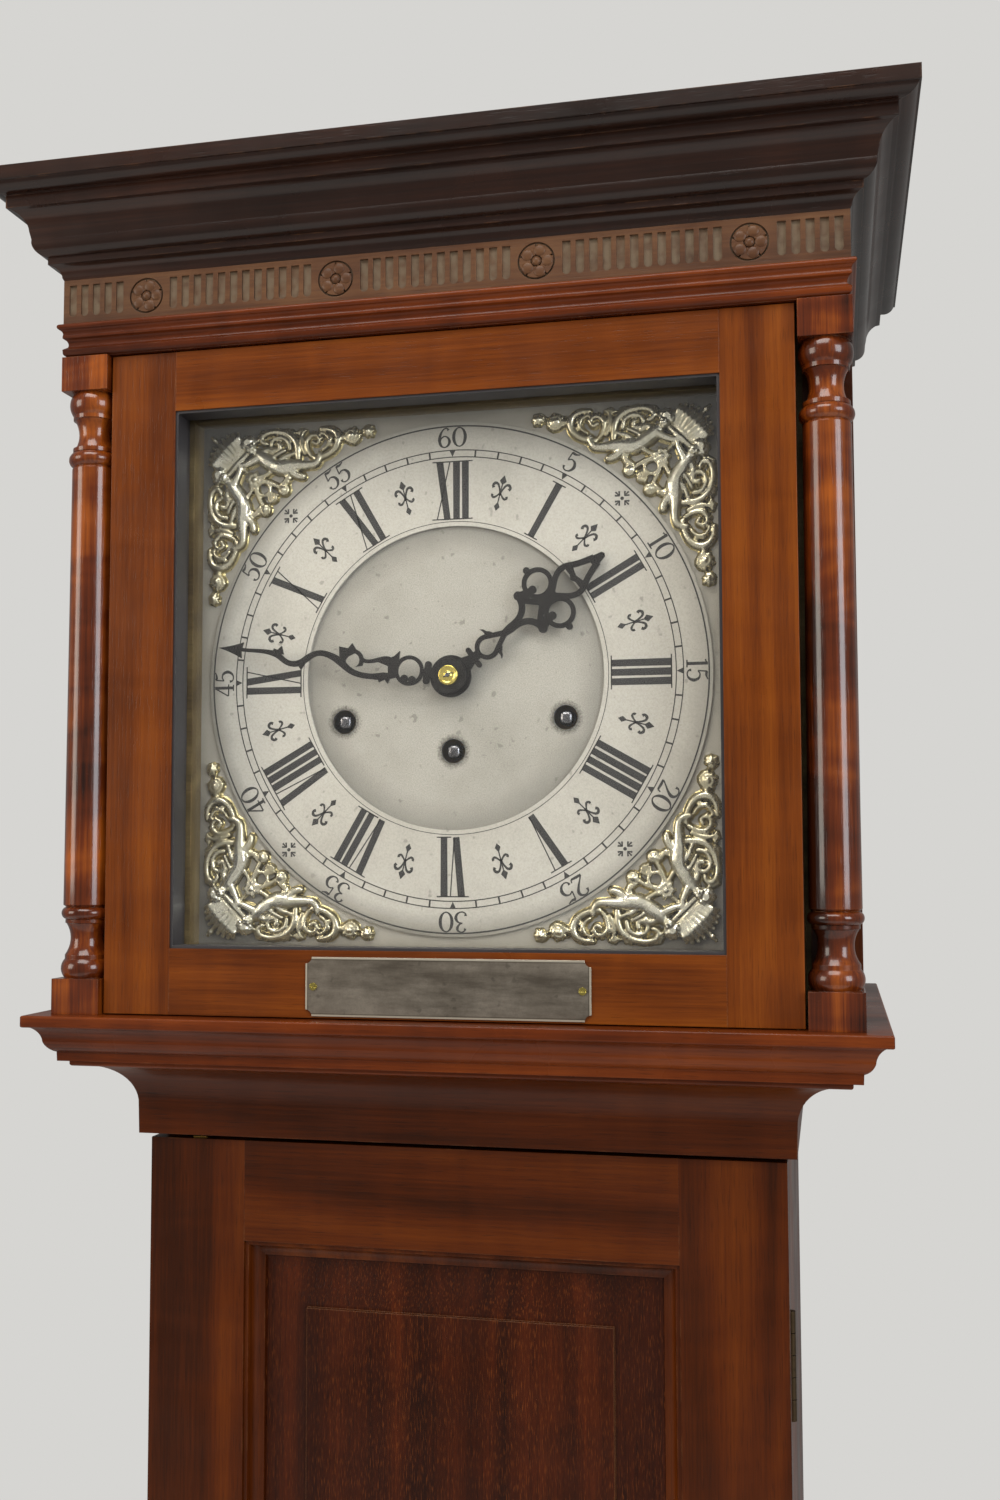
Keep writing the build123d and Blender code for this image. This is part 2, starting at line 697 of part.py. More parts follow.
def make_columns():
    plane = Plane((column_x, column_y, dial_height), x_dir=(1, 0, 0), z_dir=(0, -1, 0))
    turned = revolve(plane * outline(column_profile()), Axis((column_x, column_y, 0), (0, 0, 1)))
    heights = [p[1] for p in column_profile()]
    y0, y1 = hood_front, hood_front + column_block
    high = block(block_in, block_in + column_block, y0, y1, dial_height + max(heights), architrave_bottom)
    low = block(block_in, block_in + column_block, y0, y1, shelf_top, dial_height + min(heights))
    column = high + turned + low
    save("column_right", column)
    save("column_left", mirrored(column))


def make_hood_shelf():
    z, out = shelf_top, shelf_out
    points = [(31.5, shelf_bottom), (33.0, shelf_bottom + 1.4, -0.4), (33.0, z - 25.4), (37.8, z - 25.2),
              (38.0, z - 20.4), (43.5, z - 14.4, -0.9), (48.6, z - 6.4, 1.2), (51.0, z - 6.3),
              (out, z - 5.2, -0.3), (out, z - 1.0), (out - 1.0, z, -0.3)]
    side_room = 0.7
    front, right, left = surround(points, trunk_half, trunk_front, 0, -side_room)
    bore = upright(door_pin_x(), door_pin_y(), door_pin_radius() + pivot_clearance,
                   z - door_pin_length() - 1, z + 1)
    save("hood_shelf", front - bore, right, left)


def make_mask():
    """Four boards around the dial."""
    y0, y1 = post_front, post_front + mask_thick
    half = frieze_half - post_width
    low, high = dial_height - mask_open_half, dial_height + mask_open_half
    side = block(mask_open_half, half, y0, y1, shelf_top, cornice_bottom)
    top = block(-mask_open_half, mask_open_half, y0, y1, high, cornice_bottom)
    bottom = block(-mask_open_half, mask_open_half, y0, y1, shelf_top, low)
    save("dial_mask", side, mirrored(side), top, bottom)


# Hood door

def door_pin_x():
    return hood_door_half - 3.0


def door_pin_y():
    return hood_door_face + 2.8


def door_pin_radius():
    return 1.3


def door_pin_length():
    return 5.0


def four_strips(half, low, high, wide, y0, y1):
    """Thin strips that line a rectangular opening."""
    side = block(half - wide, half, y0, y1, low, high)
    top = block(wide - half, half - wide, y0, y1, high - wide, high)
    bottom = block(wide - half, half - wide, y0, y1, low, low + wide)
    return side, mirrored(side), top, bottom


def make_hood_door():
    y0, y1 = hood_door_face, hood_door_face + hood_door_thick
    low, high = dial_height - hood_door_down, dial_height + hood_door_up
    open_low, open_high = dial_height - glass_open_down, dial_height + glass_open_up
    glass_y = y0 + glass_set_back
    half = glass_open_half
    rebate_lap = glass_lap + lap_clearance
    rebate = block(-half - rebate_lap, half + rebate_lap, glass_y, y1 + 1,
                   open_low - rebate_lap, open_high + rebate_lap)
    stile = block(half, hood_door_half, y0, y1, low, high) - rebate
    plate = 1.5
    plate_half = 8.0
    plate_x = hood_door_half - 2 * plate_half
    pocket_low = block(plate_x, hood_door_half, y0 + 0.9, y0 + plate_half, low - 1, low + plate)
    pocket_high = block(plate_x, hood_door_half, y0 + 0.9, y0 + plate_half, high - plate, high + 1)
    save("hood_door_stiles", stile - pocket_low - pocket_high, mirrored(stile))
    top = block(-half, half, y0, y1, open_high, high) - rebate
    bottom = block(-half, half, y0, y1, low, open_low) - rebate
    for x in plaque_screw_places():
        bottom -= Pos(x, y0, plaque_z()) * Rot(90, 0, 0) * Cylinder(plaque_screw_radius / 2, 12)
    save("hood_door_rails", top, bottom)
    bead_y = glass_y + glass_thick
    strips = four_strips(half, open_low, open_high, slip_thick, y0 + slip_set_back, glass_y)
    beads = four_strips(half + rebate_lap, open_low - rebate_lap, open_high + rebate_lap,
                        rebate_lap, bead_y, y1)
    save("glazing_slip", *strips, *beads)
    save("glass_pane", block(-half - glass_lap, half + glass_lap, glass_y, bead_y,
                             open_low - glass_lap, open_high + glass_lap))
    pivot_top = block(plate_x, hood_door_half - 0.6, y0 + 0.9, y0 + plate_half, high - plate, high)
    pivot_top += upright(door_pin_x(), door_pin_y(), door_pin_radius(), high - plate,
                         high + door_gap + door_pin_length())
    pivot_low = block(plate_x, hood_door_half - 0.6, y0 + 0.9, y0 + plate_half, low, low + plate)
    pivot_low += upright(door_pin_x(), door_pin_y(), door_pin_radius(),
                         low - door_gap - door_pin_length(), low + plate)
    save("hood_door_pivots", pivot_top, pivot_low)


def plaque_screw_places():
    reach = plaque_width / 2 - plaque_screw_inset
    return (plaque_shift - reach, plaque_shift + reach)


def plaque_z():
    return dial_height - plaque_drop


def make_plaque():
    y = hood_door_face
    plane = Plane((plaque_shift, y, plaque_z()), x_dir=(1, 0, 0), z_dir=(0, -1, 0))
    sheet = Rectangle(plaque_width, plaque_height)
    for sx in (-1, 1):
        for sz in (-1, 1):
            sheet -= Pos(sx * plaque_width / 2, sz * plaque_height / 2) * Circle(plaque_scallop)
    plate = extrude(plane * sheet, plaque_thick)
    screws = []
    for x in plaque_screw_places():
        plate -= Pos(x, y, plaque_z()) * Rot(90, 0, 0) * Cylinder(plaque_screw_radius / 2, 6)
        place = Pos(x, y, plaque_z())
        shank = place * Rot(90, 0, 0) * Cylinder(plaque_screw_radius / 2, 12)
        shank -= block(x - 3, x + 3, y - 9, y - plaque_thick, plaque_z() - 3, plaque_z() + 3)
        head = Plane((x, y - plaque_thick, plaque_z()), x_dir=(1, 0, 0), z_dir=(0, -1, 0))
        dome = extrude(head * Circle(plaque_screw_radius), 0.7)
        slot = block(x - 3, x + 3, y - plaque_thick - 1, y - plaque_thick - 0.35,
                     plaque_z() - 0.25, plaque_z() + 0.25)
        screws.append(shank + (dome - slot))
    save("plaque", plate)
    save("plaque_screws", *screws)


# Dial

def dial_plane(depth):
    """A drawing plane that faces the viewer, centred on the dial."""
    return Plane((0, y_at(depth), dial_height), x_dir=(1, 0, 0), z_dir=(0, -1, 0))


def make_dial():
    plate = Rectangle(2 * dial_half, 2 * dial_half) - Circle(hour_bush_hole)
    for x in winding_places():
        plate -= Pos(x, -winding_drop(x)) * Circle(winding_hole)
    dial = extrude(dial_plane(dial_depth - dial_thick) * plate, dial_thick)
    feet = []
    for x in (-dial_foot_x, dial_foot_x):
        for z in (-dial_foot_z, dial_foot_z):
            foot = rod(x, dial_height + z, dial_foot_radius, front_plate_depth, dial_depth - dial_thick)
            feet.append(foot)
    save("dial_plate", dial, *feet)
    ring = Circle(ring_outer) - Circle(ring_inner)
    save("chapter_ring", extrude(dial_plane(dial_depth) * ring, ring_thick))


def make_spandrels():
    """Four cast corner pieces: a leafy sheet with a crown, two small figures and a flower in relief."""
    corner = dial_half - spandrel_inset
    clear = ring_outer + spandrel_ring_gap
    sheet = Pos(corner - spandrel_reach / 2, corner - spandrel_reach / 2) * Rectangle(
        spandrel_reach, spandrel_reach)
    sheet -= Circle(clear)
    lobe = 0.093 * spandrel_reach
    for i in range(5):
        at = corner - spandrel_reach + (i + 0.5) * spandrel_reach / 5
        notch = Circle(lobe / 3)
        sheet -= Pos(at, corner + 0.8) * notch
        sheet -= Pos(corner + 0.8, at) * notch
    body = extrude(dial_plane(dial_depth) * sheet, spandrel_thick)
    unit = spandrel_reach / 97
    relief = Pos(corner - 13 * unit, corner - 13 * unit) * Circle(10.5 * unit)
    body += extrude(dial_plane(dial_depth) * relief, 2 * spandrel_thick)
    head = 5.5 * unit
    for along, across in ((-34 * unit, -14 * unit), (-14 * unit, -34 * unit)):
        figure = Pos(corner + along, corner + across) * Circle(head)
        figure += Pos(corner + along * 1.35, corner + across * 1.1) * Circle(head * 1.25)
        body += extrude(dial_plane(dial_depth) * figure, 2 * spandrel_thick)
    flower = Pos(corner - 38 * unit, corner - 38 * unit) * Circle(6.5 * unit)
    body += extrude(dial_plane(dial_depth) * flower, 1.8 * spandrel_thick)
    upper = mirrored(body)
    middle = Plane((0, 0, dial_height), x_dir=(1, 0, 0), z_dir=(0, 0, 1))
    save("corner_spandrels", body, upper, mirror(body, about=middle), mirror(upper, about=middle))


# Hands

def band(points, widths):
    """A strip of changing width along a smooth run of points, as a flat face."""
    curve = Spline(*[Vector(*p) for p in points]) if len(points) > 2 else Line(*points)
    steps = 5 * (len(points) - 1)
    left, right = [], []
    for i in range(steps + 1):
        u = i / steps
        at = curve @ u
        along = curve % u
        share = u * (len(widths) - 1)
        k = min(int(share), len(widths) - 2)
        half = 0.5 * (widths[k] + (widths[k + 1] - widths[k]) * (share - k))
        side = Vector(-along.Y, along.X) * half
        left.append(at + side)
        right.append(at - side)
    corners = left + right[::-1]
    return make_face(Polyline(*corners, close=True))


def ring_face(x, y, outer, inner):
    return Pos(x, y) * (Circle(outer) - Circle(inner))


def place_hand(face, depth, angle):
    """Stands a hand drawn along +X at its time, facing the viewer."""
    turn = math.radians(angle)
    plane = Plane((0, y_at(depth), dial_height), x_dir=(math.sin(turn), 0, math.cos(turn)), z_dir=(0, -1, 0))
    return extrude(plane * face, hand_thick)


def sized(face):
    """A hand's outline at the size of the ring that it reaches over."""
    return scale(face, ring_outer / drawn_ring)


def both(face):
    """The face and its mirror image across the hand's own line."""
    return face + mirror(face, about=Plane.XZ)


def hour_hand_face():
    boss = 11.4
    face = Circle(boss) + outline([(6, -6), (15, -2.6), (20, -2.4), (20, 2.4), (15, 2.6), (6, 6)])
    face += Pos(16, 0) * SlotOverall(13, 3.0, rotation=90)
    loop = Pos(25.3, 0) * Circle(6.9) + outline([(27.5, -6.5), (38.5, -1.2), (38.5, 1.2), (27.5, 6.5)])
    loop -= Pos(25.2, 0) * Circle(4.3) + outline([(26.6, -4.05), (34.5, 0), (26.6, 4.05)])
    face += loop
    spur = outline([(32.6, 2.6), (30.0, 7.0, -0.6), (27.6, 10.0, -0.5), (28.2, 6.2, 0.3)])
    arm = band([(36.5, 0.2), (42.0, 0.7), (47.0, 1.2), (51.4, 3.4), (54.0, 7.0), (55.0, 11.0)],
               [3.0, 3.6, 3.4, 3.4, 3.6, 4.0])
    diamond_side = band([(56.8, 6.2), (63.0, 0.0)], [3.2, 3.2])
    cross = band([(57.8, 10.0), (57.0, 5.0)], [5.0, 3.6])
    knob_bar = band([(56.0, 10.2), (62.6, 8.9)], [4.6, 3.4])
    stem = outline([(60.5, -2.6), (68.5, -2.0), (72.0, -0.8), (72.0, 0.8), (68.5, 2.0), (60.5, 2.6)])
    heart = band([(69.0, 0.6), (73.0, 3.6), (78.0, 7.2), (82.5, 8.2), (88.0, 5.8), (96.0, 2.6), (99.0, 1.6)],
                 [3.6, 3.2, 3.0, 3.2, 3.2, 3.6])
    half = spur + arm + diamond_side + cross + knob_bar + heart
    half += Pos(54.9, 11.2) * Circle(2.5)
    half += Pos(63.0, 8.9) * Circle(2.2)
    half += ring_face(67.2, 10.0, 8.6, 6.0)
    half += Pos(66.6, 19.2) * Circle(1.9)
    face += both(half) + stem
    face += outline([(83.4, -7.4), (83.4, -2.4), (82.0, 0), (83.4, 2.4), (83.4, 7.4), (87.6, 6.0), (85.8, 0),
                     (87.6, -6.0)])
    face += outline([(96.0, -3.6), (104.0, -1.5), (104.8, 0), (104.0, 1.5), (96.0, 3.6)])
    return sized(face) - Circle(hour_pipe_radius())


def hour_pipe_radius():
    return 5.0


def cannon_radius():
    return 3.5


def minute_hand_face():
    boss = 9.6
    face = Circle(boss) + outline([(5, -5), (12, -2.0), (16, -2.0), (16, 2.0), (12, 2.0), (5, 5)])
    face += Pos(12.1, 0) * SlotOverall(12.6, 3.8, rotation=90)
    face += ring_face(22.3, 0, 8.2, 6.1)
    face += Pos(24.4, 4.6) * Circle(2.1) + Pos(20.0, 4.8) * Circle(2.1)
    stem = band([(29.5, 3.6), (38.0, 5.0), (47.0, 5.6), (56.0, 3.4), (62.0, -0.6), (68.3, -3.2),
                 (74.1, -3.7), (79.5, -1.2), (83.9, 2.4), (88.5, 3.9), (93.4, 2.8), (97.5, 0.4),
                 (102.5, -0.8), (110.2, -0.9), (120.0, -0.6)],
                [2.4, 4.2, 3.0, 3.2, 3.4, 4.2, 3.4, 3.0, 3.4, 3.2, 3.0, 3.2, 2.3, 2.0, 2.0])
    face += stem
    face += outline([(28.6, -3.4), (28.9, -10.0), (31.5, -7.0), (33.6, -5.6), (40.5, -4.4), (40.5, -2.6),
                     (34.5, -1.0), (33.5, 4.6), (29.0, 4.4)])
    face += outline([(31.8, 4.2), (33.3, 8.4), (35.2, 6.4), (38.2, 8.2), (40.0, 4.8)])
    face += band([(34.0, -4.4), (41.0, -3.6), (47.0, -2.3), (50.2, -3.4)], [3.6, 2.4, 2.0, 2.4])
    curl = ring_face(54.7, -1.9, 6.2, 3.9) - outline([(44, -1.0), (60, 3.6), (60, 10), (44, 10)])
    face += curl
    face += outline([(52.6, -6.8), (56.2, -11.2), (58.2, -8.2), (63.4, -8.6), (62.6, -3.6), (60.4, 0.6),
                     (57.6, -3.6)])
    face += outline([(94.6, -0.6), (96.3, -5.2), (98.4, -2.8), (100.6, -3.4), (101.5, -0.4)])
    face += outline([(80.8, 1.4), (83.4, 6.6), (85.0, 4.8), (87.4, 5.4), (86.5, 2.0)])
    face += outline([(118.8, -4.6), (133.0, 0, 0.4), (118.8, 4.2, 0.4), (119.6, 0)])
    return sized(face) - Circle(cannon_radius())


def make_hands():
    save("hour_hand", place_hand(hour_hand_face(), hour_hand_depth, hour_hand_at))
    save("minute_hand", place_hand(minute_hand_face(), minute_hand_depth, minute_hand_at))
    start = minute_hand_depth + hand_thick
    dome = revolve(Plane((0, y_at(start), dial_height), x_dir=(1, 0, 0), z_dir=(0, 0, 1)) * outline(
        [(0, -nut_height), (1.2, -nut_height), (nut_radius, -0.8, -0.9), (nut_radius, 0), (0, 0)]),
        Axis((0, y_at(start), dial_height), (0, 1, 0)))
    pin = Pos(0, y_at(start + nut_height), dial_height) * Rot(0, 25, 0) * Rot(0, 90, 0) * Cylinder(0.5, 5.4)
    save("hand_nut", dome + pin)


# Movement

def gear(teeth, module, phase):
    """A toothed disc drawn facing the viewer. Phase is the clockwise angle of one tooth from twelve."""
    pitch = module * teeth / 2
    wheel_like = teeth >= least_wheel_teeth
    tip = pitch + module * (wheel_rise if wheel_like else leaf_rise)
    root = pitch - module * (wheel_drop if wheel_like else leaf_drop)
    tip_share = wheel_tip if wheel_like else leaf_tip
    root_share = wheel_root if wheel_like else leaf_root
    share = 2 * math.pi / teeth
    corners = []
    for i in range(teeth):
        middle = math.radians(phase) + i * share
        for radius, part in ((root, -root_share), (tip, -tip_share), (tip, tip_share), (root, root_share)):
            angle = middle + part * share
            corners.append((radius * math.sin(angle), radius * math.cos(angle)))
    return make_face(Polyline(*corners, close=True))


def wheel(x, z, teeth, module, phase, depth, thick, spokes=0, hub=0.0):
    """A wheel on an arbor, with crossings where spokes are asked for."""
    face = gear(teeth, module, phase)
    if spokes:
        rim = module * teeth / 2 - wheel_drop * module - 3.0
        gaps = Circle(rim) - Circle(hub)
        for i in range(spokes):
            gaps -= Rot(0, 0, i * 360 / spokes) * Pos(rim / 2, 0) * Rectangle(rim + 2, 3.0)
        face -= gaps
    return extrude(Plane((x, y_at(depth), dial_height + z), x_dir=(1, 0, 0), z_dir=(0, -1, 0)) * face, thick)


def clock_angle(x, z):
    """Direction clockwise from twelve, in degrees."""
    return math.degrees(math.atan2(x, z))


def make_plates():
    low, high = plate_bottom, plate_bottom + plate_height
    half = plate_width / 2
    front_y = y_at(front_plate_depth)
    front = block(-half, half, front_y, front_y + plate_thick, low, high)
    back_y = y_at(back_plate_depth)
    back = block(-half, half, back_y - plate_thick, back_y, low, high)
    post_x = motion_distance * math.sin(math.radians(motion_turn))
    post_z = motion_distance * math.cos(math.radians(motion_turn))
    holes = [(0, 0, centre_arbor_radius), (third_x, third_z, 1.5), (0, escape_z, 1.5), (0, anchor_z, 1.5)]
    for x in winding_places():
        holes.append((x, -winding_drop(x), 3.0))
    for x, z, radius in holes:
        cut = rod(x, dial_height + z, radius + pivot_clearance, back_plate_depth - 1, front_plate_depth + 1)
        front -= cut
        back -= cut
    pillars = []
    edge = half - pillar_inset
    for px, side in ((-low_pillar_x, -1), (low_pillar_x, -1), (-edge, 1), (edge, 1), (0, 1)):
        pz = dial_height + side * (plate_height / 2 - pillar_inset)
        pillar = rod(px, pz, pillar_radius, back_plate_depth + plate_thick, front_plate_depth - plate_thick)
        nut = rod(px, pz, pillar_nut_radius, front_plate_depth, front_plate_depth + pillar_nut_height)
        pillars += [pillar, nut]
    post = rod(post_x, dial_height + post_z, post_radius, front_plate_depth, front_plate_depth + 10)
    save("movement_frame", front, back, post, make_cock(), *pillars)


def make_going_train():
    end = back_plate_depth - 2
    front_end = front_plate_depth + 2
    # Centre arbor, turning once an hour, with its pinion, wheel, cannon pipe and cannon pinion
    centre = rod(0, dial_height, centre_arbor_radius, end, motion_place + 0.5)
    to_great = clock_angle(0, -1)
    centre += wheel(0, 0, centre_pinion_teeth, great_module,
                    to_great + 180 / centre_pinion_teeth, great_place - 4, 11)
    to_third = clock_angle(third_x, third_z)
    centre += wheel(0, 0, centre_teeth, centre_module, to_third, centre_place, wheel_thick, 5, 5.0)
    centre += wheel(0, 0, minute_teeth, motion_module, motion_turn, motion_place, wheel_thick)
    centre += rod(0, dial_height, cannon_radius(), motion_place, minute_hand_depth + hand_thick)
    save("centre_arbor", centre)
    # Great wheel, free to turn on the barrel's arbor
    great = wheel(0, -winding_drop_middle, great_teeth, great_module, 0, great_place, wheel_thick, 6, 9.0)
    great -= rod(0, dial_height - winding_drop_middle, 3.0 + pivot_clearance,
                 great_place - 1, great_place + wheel_thick + 1)
    save("great_wheel", great)
    # Third arbor
    x, z = third_x, third_z
    third = rod(x, dial_height + z, 1.5, end, front_end)
    third += wheel(x, z, third_pinion_teeth, centre_module,
                   to_third + 180 + 180 / third_pinion_teeth, centre_place - 2, 6)
    to_escape = clock_angle(-third_x, escape_z - third_z)
    third += wheel(x, z, third_teeth, third_module, to_escape, third_place, wheel_thick, 5, 4.5)
    save("third_arbor", third)
    # Escape arbor
    escape = rod(0, dial_height + escape_z, 1.5, end, front_end)
    escape += wheel(0, escape_z, escape_pinion_teeth, third_module,
                    to_escape + 180 + 180 / escape_pinion_teeth, third_place - 2, 6)
    points = []
    tooth = 2 * math.pi / escape_teeth
    for i in range(escape_teeth):
        a = i * tooth
        points.append((escape_radius * math.sin(a), escape_radius * math.cos(a)))
        points.append(((escape_radius - 0.2) * math.sin(a + 0.1 * tooth),
                       (escape_radius - 0.2) * math.cos(a + 0.1 * tooth)))
        points.append(((escape_radius - 3.2) * math.sin(a + 0.55 * tooth),
                       (escape_radius - 3.2) * math.cos(a + 0.55 * tooth)))
        points.append(((escape_radius - 3.2) * math.sin(a + 0.9 * tooth),
                       (escape_radius - 3.2) * math.cos(a + 0.9 * tooth)))
    face = make_face(Polyline(*points, close=True))
    gaps = Circle(escape_radius - 6) - Circle(4.0)
    for i in range(4):
        gaps -= Rot(0, 0, i * 90) * Pos(7, 0) * Rectangle(14, 2.2)
    plane = Plane((0, y_at(escape_place), dial_height + escape_z), x_dir=(1, 0, 0), z_dir=(0, -1, 0))
    escape += extrude(plane * (face - gaps), wheel_thick)
    save("escape_arbor", escape)


def make_motion_work():
    turn = math.radians(motion_turn)
    x, z = motion_distance * math.sin(turn), motion_distance * math.cos(turn)
    bore = rod(x, dial_height + z, post_radius + pivot_clearance,
               front_plate_depth - 1, front_plate_depth + 12)
    back_to_centre = motion_turn + 180
    wheel_part = wheel(x, z, minute_teeth, motion_module, back_to_centre + 180 / minute_teeth,
                       motion_place, wheel_thick)
    wheel_part += wheel(x, z, minute_pinion_teeth, hour_module,
                        back_to_centre + 180 / minute_pinion_teeth, motion_place + 1.8, 5.0)
    save("minute_wheel", wheel_part - bore)
    hour = wheel(0, 0, hour_teeth, hour_module, motion_turn, hour_place, wheel_thick)
    hour += rod(0, dial_height, hour_pipe_radius(), hour_place, hour_hand_depth + hand_thick)
    hour -= rod(0, dial_height, cannon_radius() + pivot_clearance, hour_place - 1, minute_hand_depth)
    save("hour_wheel", hour)


def make_anchor():
    z = dial_height + anchor_z
    arbor = rod(0, z, 1.5, crutch_depth - 4, front_plate_depth + 2)
    reach_x, reach_z = 14.9, 12.2
    arm = outline([(0, 3.2), (reach_x - 1.2, 1.4 - reach_z + 4, 1.2), (reach_x + 2.4, 1.0 - reach_z),
                   (reach_x + 0.2, -reach_z - 1.4), (reach_x - 1.4, 0.8 - reach_z), (3.0, -2.6), (0, -3.2)])
    face = arm + mirror(arm, about=Plane.YZ)
    plane = Plane((0, y_at(escape_place - 0.5), z), x_dir=(1, 0, 0), z_dir=(0, -1, 0))
    body = extrude(plane * face, 3.0)
    arm_thick = 2.0
    fork_gap = rod_radius + crutch_clearance
    crutch = block(-3, 3, y_at(crutch_depth), y_at(crutch_depth) + arm_thick, z - crutch_length, z + 4)
    fork_z = z - crutch_length
    bar = block(-fork_gap - 2, fork_gap + 2, y_at(crutch_depth), y_at(crutch_depth) + arm_thick,
                fork_z - 4, fork_z + 4)
    prong = block(fork_gap, fork_gap + 2, y_at(crutch_depth), y_at(pendulum_depth - 6),
                  fork_z - 4, fork_z + 4)
    save("anchor", arbor + body + crutch + bar + prong + mirrored(prong))


def make_cock():
    """The bracket and spring that hang the pendulum."""
    z = pivot_z
    cock_low, cock_high = z + 14, z + 34
    foot = block(-22, 22, y_at(back_plate_depth), y_at(back_plate_depth - 3), cock_low, cock_high)
    arm = block(-9, 9, y_at(back_plate_depth - 3), y_at(pendulum_depth - 6), cock_low + 4, cock_high - 4)
    spring = block(-5.5, 5.5, y_at(pendulum_depth + 0.3), y_at(pendulum_depth - 0.3), z + 1, cock_low + 4)
    return foot + arm + spring


def make_pendulum():
    z = pivot_z
    top_block = block(-7, 7, y_at(pendulum_depth + 4), y_at(pendulum_depth - 4), z - 16, z)
    y = y_at(pendulum_depth)
    bob_z = z - pendulum_length
    thread_low = bob_z - bob_radius - 32
    save("pendulum_rod", top_block + upright(0, y, rod_radius, thread_low, z - 10))
    bore = upright(0, y, rod_radius + pivot_clearance, thread_low - 1, z)
    edge = 2.0
    half = outline([(0, -bob_thick / 2), (bob_radius - 6, -edge - 1, -5.0), (bob_radius, -edge),
                    (bob_radius, edge), (bob_radius - 6, edge + 1), (0, bob_thick / 2, -5.0)])
    lens = Plane((0, y, bob_z), x_dir=(1, 0, 0), z_dir=(0, 0, 1)) * half
    bob = revolve(lens, Axis((0, y, bob_z), (0, 1, 0)))
    nut = upright(0, y, 9.0, bob_z - bob_radius - 12, bob_z - bob_radius - 2)
    save("pendulum_bob", bob - bore, nut - bore)


def make_barrels():
    names = ("barrel_strike", "barrel_going", "barrel_chime")
    front = drum_back + drum_length
    for name, x in zip(names, winding_places()):
        z = dial_height - winding_drop(x)
        drum = rod(x, z, drum_radius, drum_back, front)
        drum += rod(x, z, flange_radius, drum_back, drum_back + flange_thick)
        drum += rod(x, z, flange_radius, front - flange_thick, front)
        drum += rod(x, z, 3.0, back_plate_depth - 2, front_plate_depth + 4)
        square_end = dial_depth - dial_thick - 1.0
        square = winding_square / 2
        drum += block(x - square, x + square, y_at(square_end), y_at(front_plate_depth),
                      z - square, z + square)
        if x != 0:
            module = 2 * side_wheel_radius / side_wheel_teeth
            drum += wheel(x, -winding_drop(x), side_wheel_teeth, module, 0,
                          drum_back - 2 * wheel_thick, wheel_thick, 5, 9.0)
        save(name, drum)


def make_weights():
    names = ("strike", "going", "chime")
    y = y_at(line_depth)
    strap_gap = pulley_width / 2 + 0.8
    strap = 1.6
    lines = []
    for name, x in zip(names, winding_places()):
        z = pulley_rest
        groove = drum_radius
        half = pulley_width / 2
        profile = outline([(axle_radius + pivot_clearance, -half), (pulley_radius, -half),
                           (pulley_radius, -groove_width / 2), (groove, -groove_width / 2),
                           (groove, groove_width / 2), (pulley_radius, groove_width / 2),
                           (pulley_radius, half), (axle_radius + pivot_clearance, half)])
        plane = Plane((x, y, z), x_dir=(1, 0, 0), z_dir=(0, 0, 1))
        save(f"pulley_{name}", revolve(plane * profile, Axis((x, y, z), (0, 1, 0))))
        top = z - weight_below_pulley
        low = top - weight_height
        body = upright(x, y, weight_radius, low + 6, top - 6)
        body += upright(x, y, weight_radius - 1.5, low, top)
        straps = block(x - 5, x + 5, y - strap_gap - strap, y - strap_gap, z - 33, z + 9)
        straps += block(x - 5, x + 5, y + strap_gap, y + strap_gap + strap, z - 33, z + 9)
        straps += block(x - 5, x + 5, y - strap_gap - strap, y + strap_gap + strap, z - 35, z - 31)
        straps += Pos(x, y, z) * Rot(90, 0, 0) * Cylinder(axle_radius, 2 * (strap_gap + strap))
        straps += upright(x, y, 2.5, top, z - 33)
        save(f"weight_{name}", body + straps)
        lines.append(make_line(x, y, z))
    save("weight_lines", *lines)


def make_line(x, y, z):
    """One line: down from the barrel, round the pulley and up to the seat board."""
    barrel_z = dial_height - winding_drop(x)
    down = upright(x - line_offset, y, line_radius, z, barrel_z)
    up = upright(x + line_offset, y, line_radius, z, seat_bottom)
    bend = Pos(x, y, z) * Rot(90, 0, 0) * Torus(line_offset, line_radius)
    bend -= block(x - 50, x + 50, y - 10, y + 10, z, z + 50)
    return down + up + bend


def make_chime():
    rod_top = seat_bottom - 40
    last_x = chime_first_x + (chime_count - 1) * chime_spacing
    cast = block(chime_first_x - 12, last_x + 12, y_at(chime_depth + 12), y_at(back_thick),
                 rod_top, rod_top + chime_block_height)
    rods = []
    for i in range(chime_count):
        x = chime_first_x + i * chime_spacing
        long = chime_longest - i * chime_step
        rods.append(upright(x, y_at(chime_depth), chime_rod_radius, rod_top - long, rod_top))
    shaft_z = rod_top + 18
    y = y_at(hammer_depth)
    ear_y = y_at(seat_back)
    ears = []
    for x in (chime_first_x - 10, last_x + 10):
        ear = block(x - 1.5, x + 1.5, ear_y - 14, y + 6, shaft_z - 6, shaft_z + 6)
        ear += block(x - 1.5, x + 1.5, ear_y - 14, ear_y - 2, shaft_z, seat_bottom)
        ear -= Pos(x, y, shaft_z) * Rot(0, 90, 0) * Cylinder(hammer_shaft_radius + pivot_clearance, 10)
        ears.append(ear)
    save("chime_rods", cast, *rods, *ears)
    make_hammers(shaft_z, last_x)


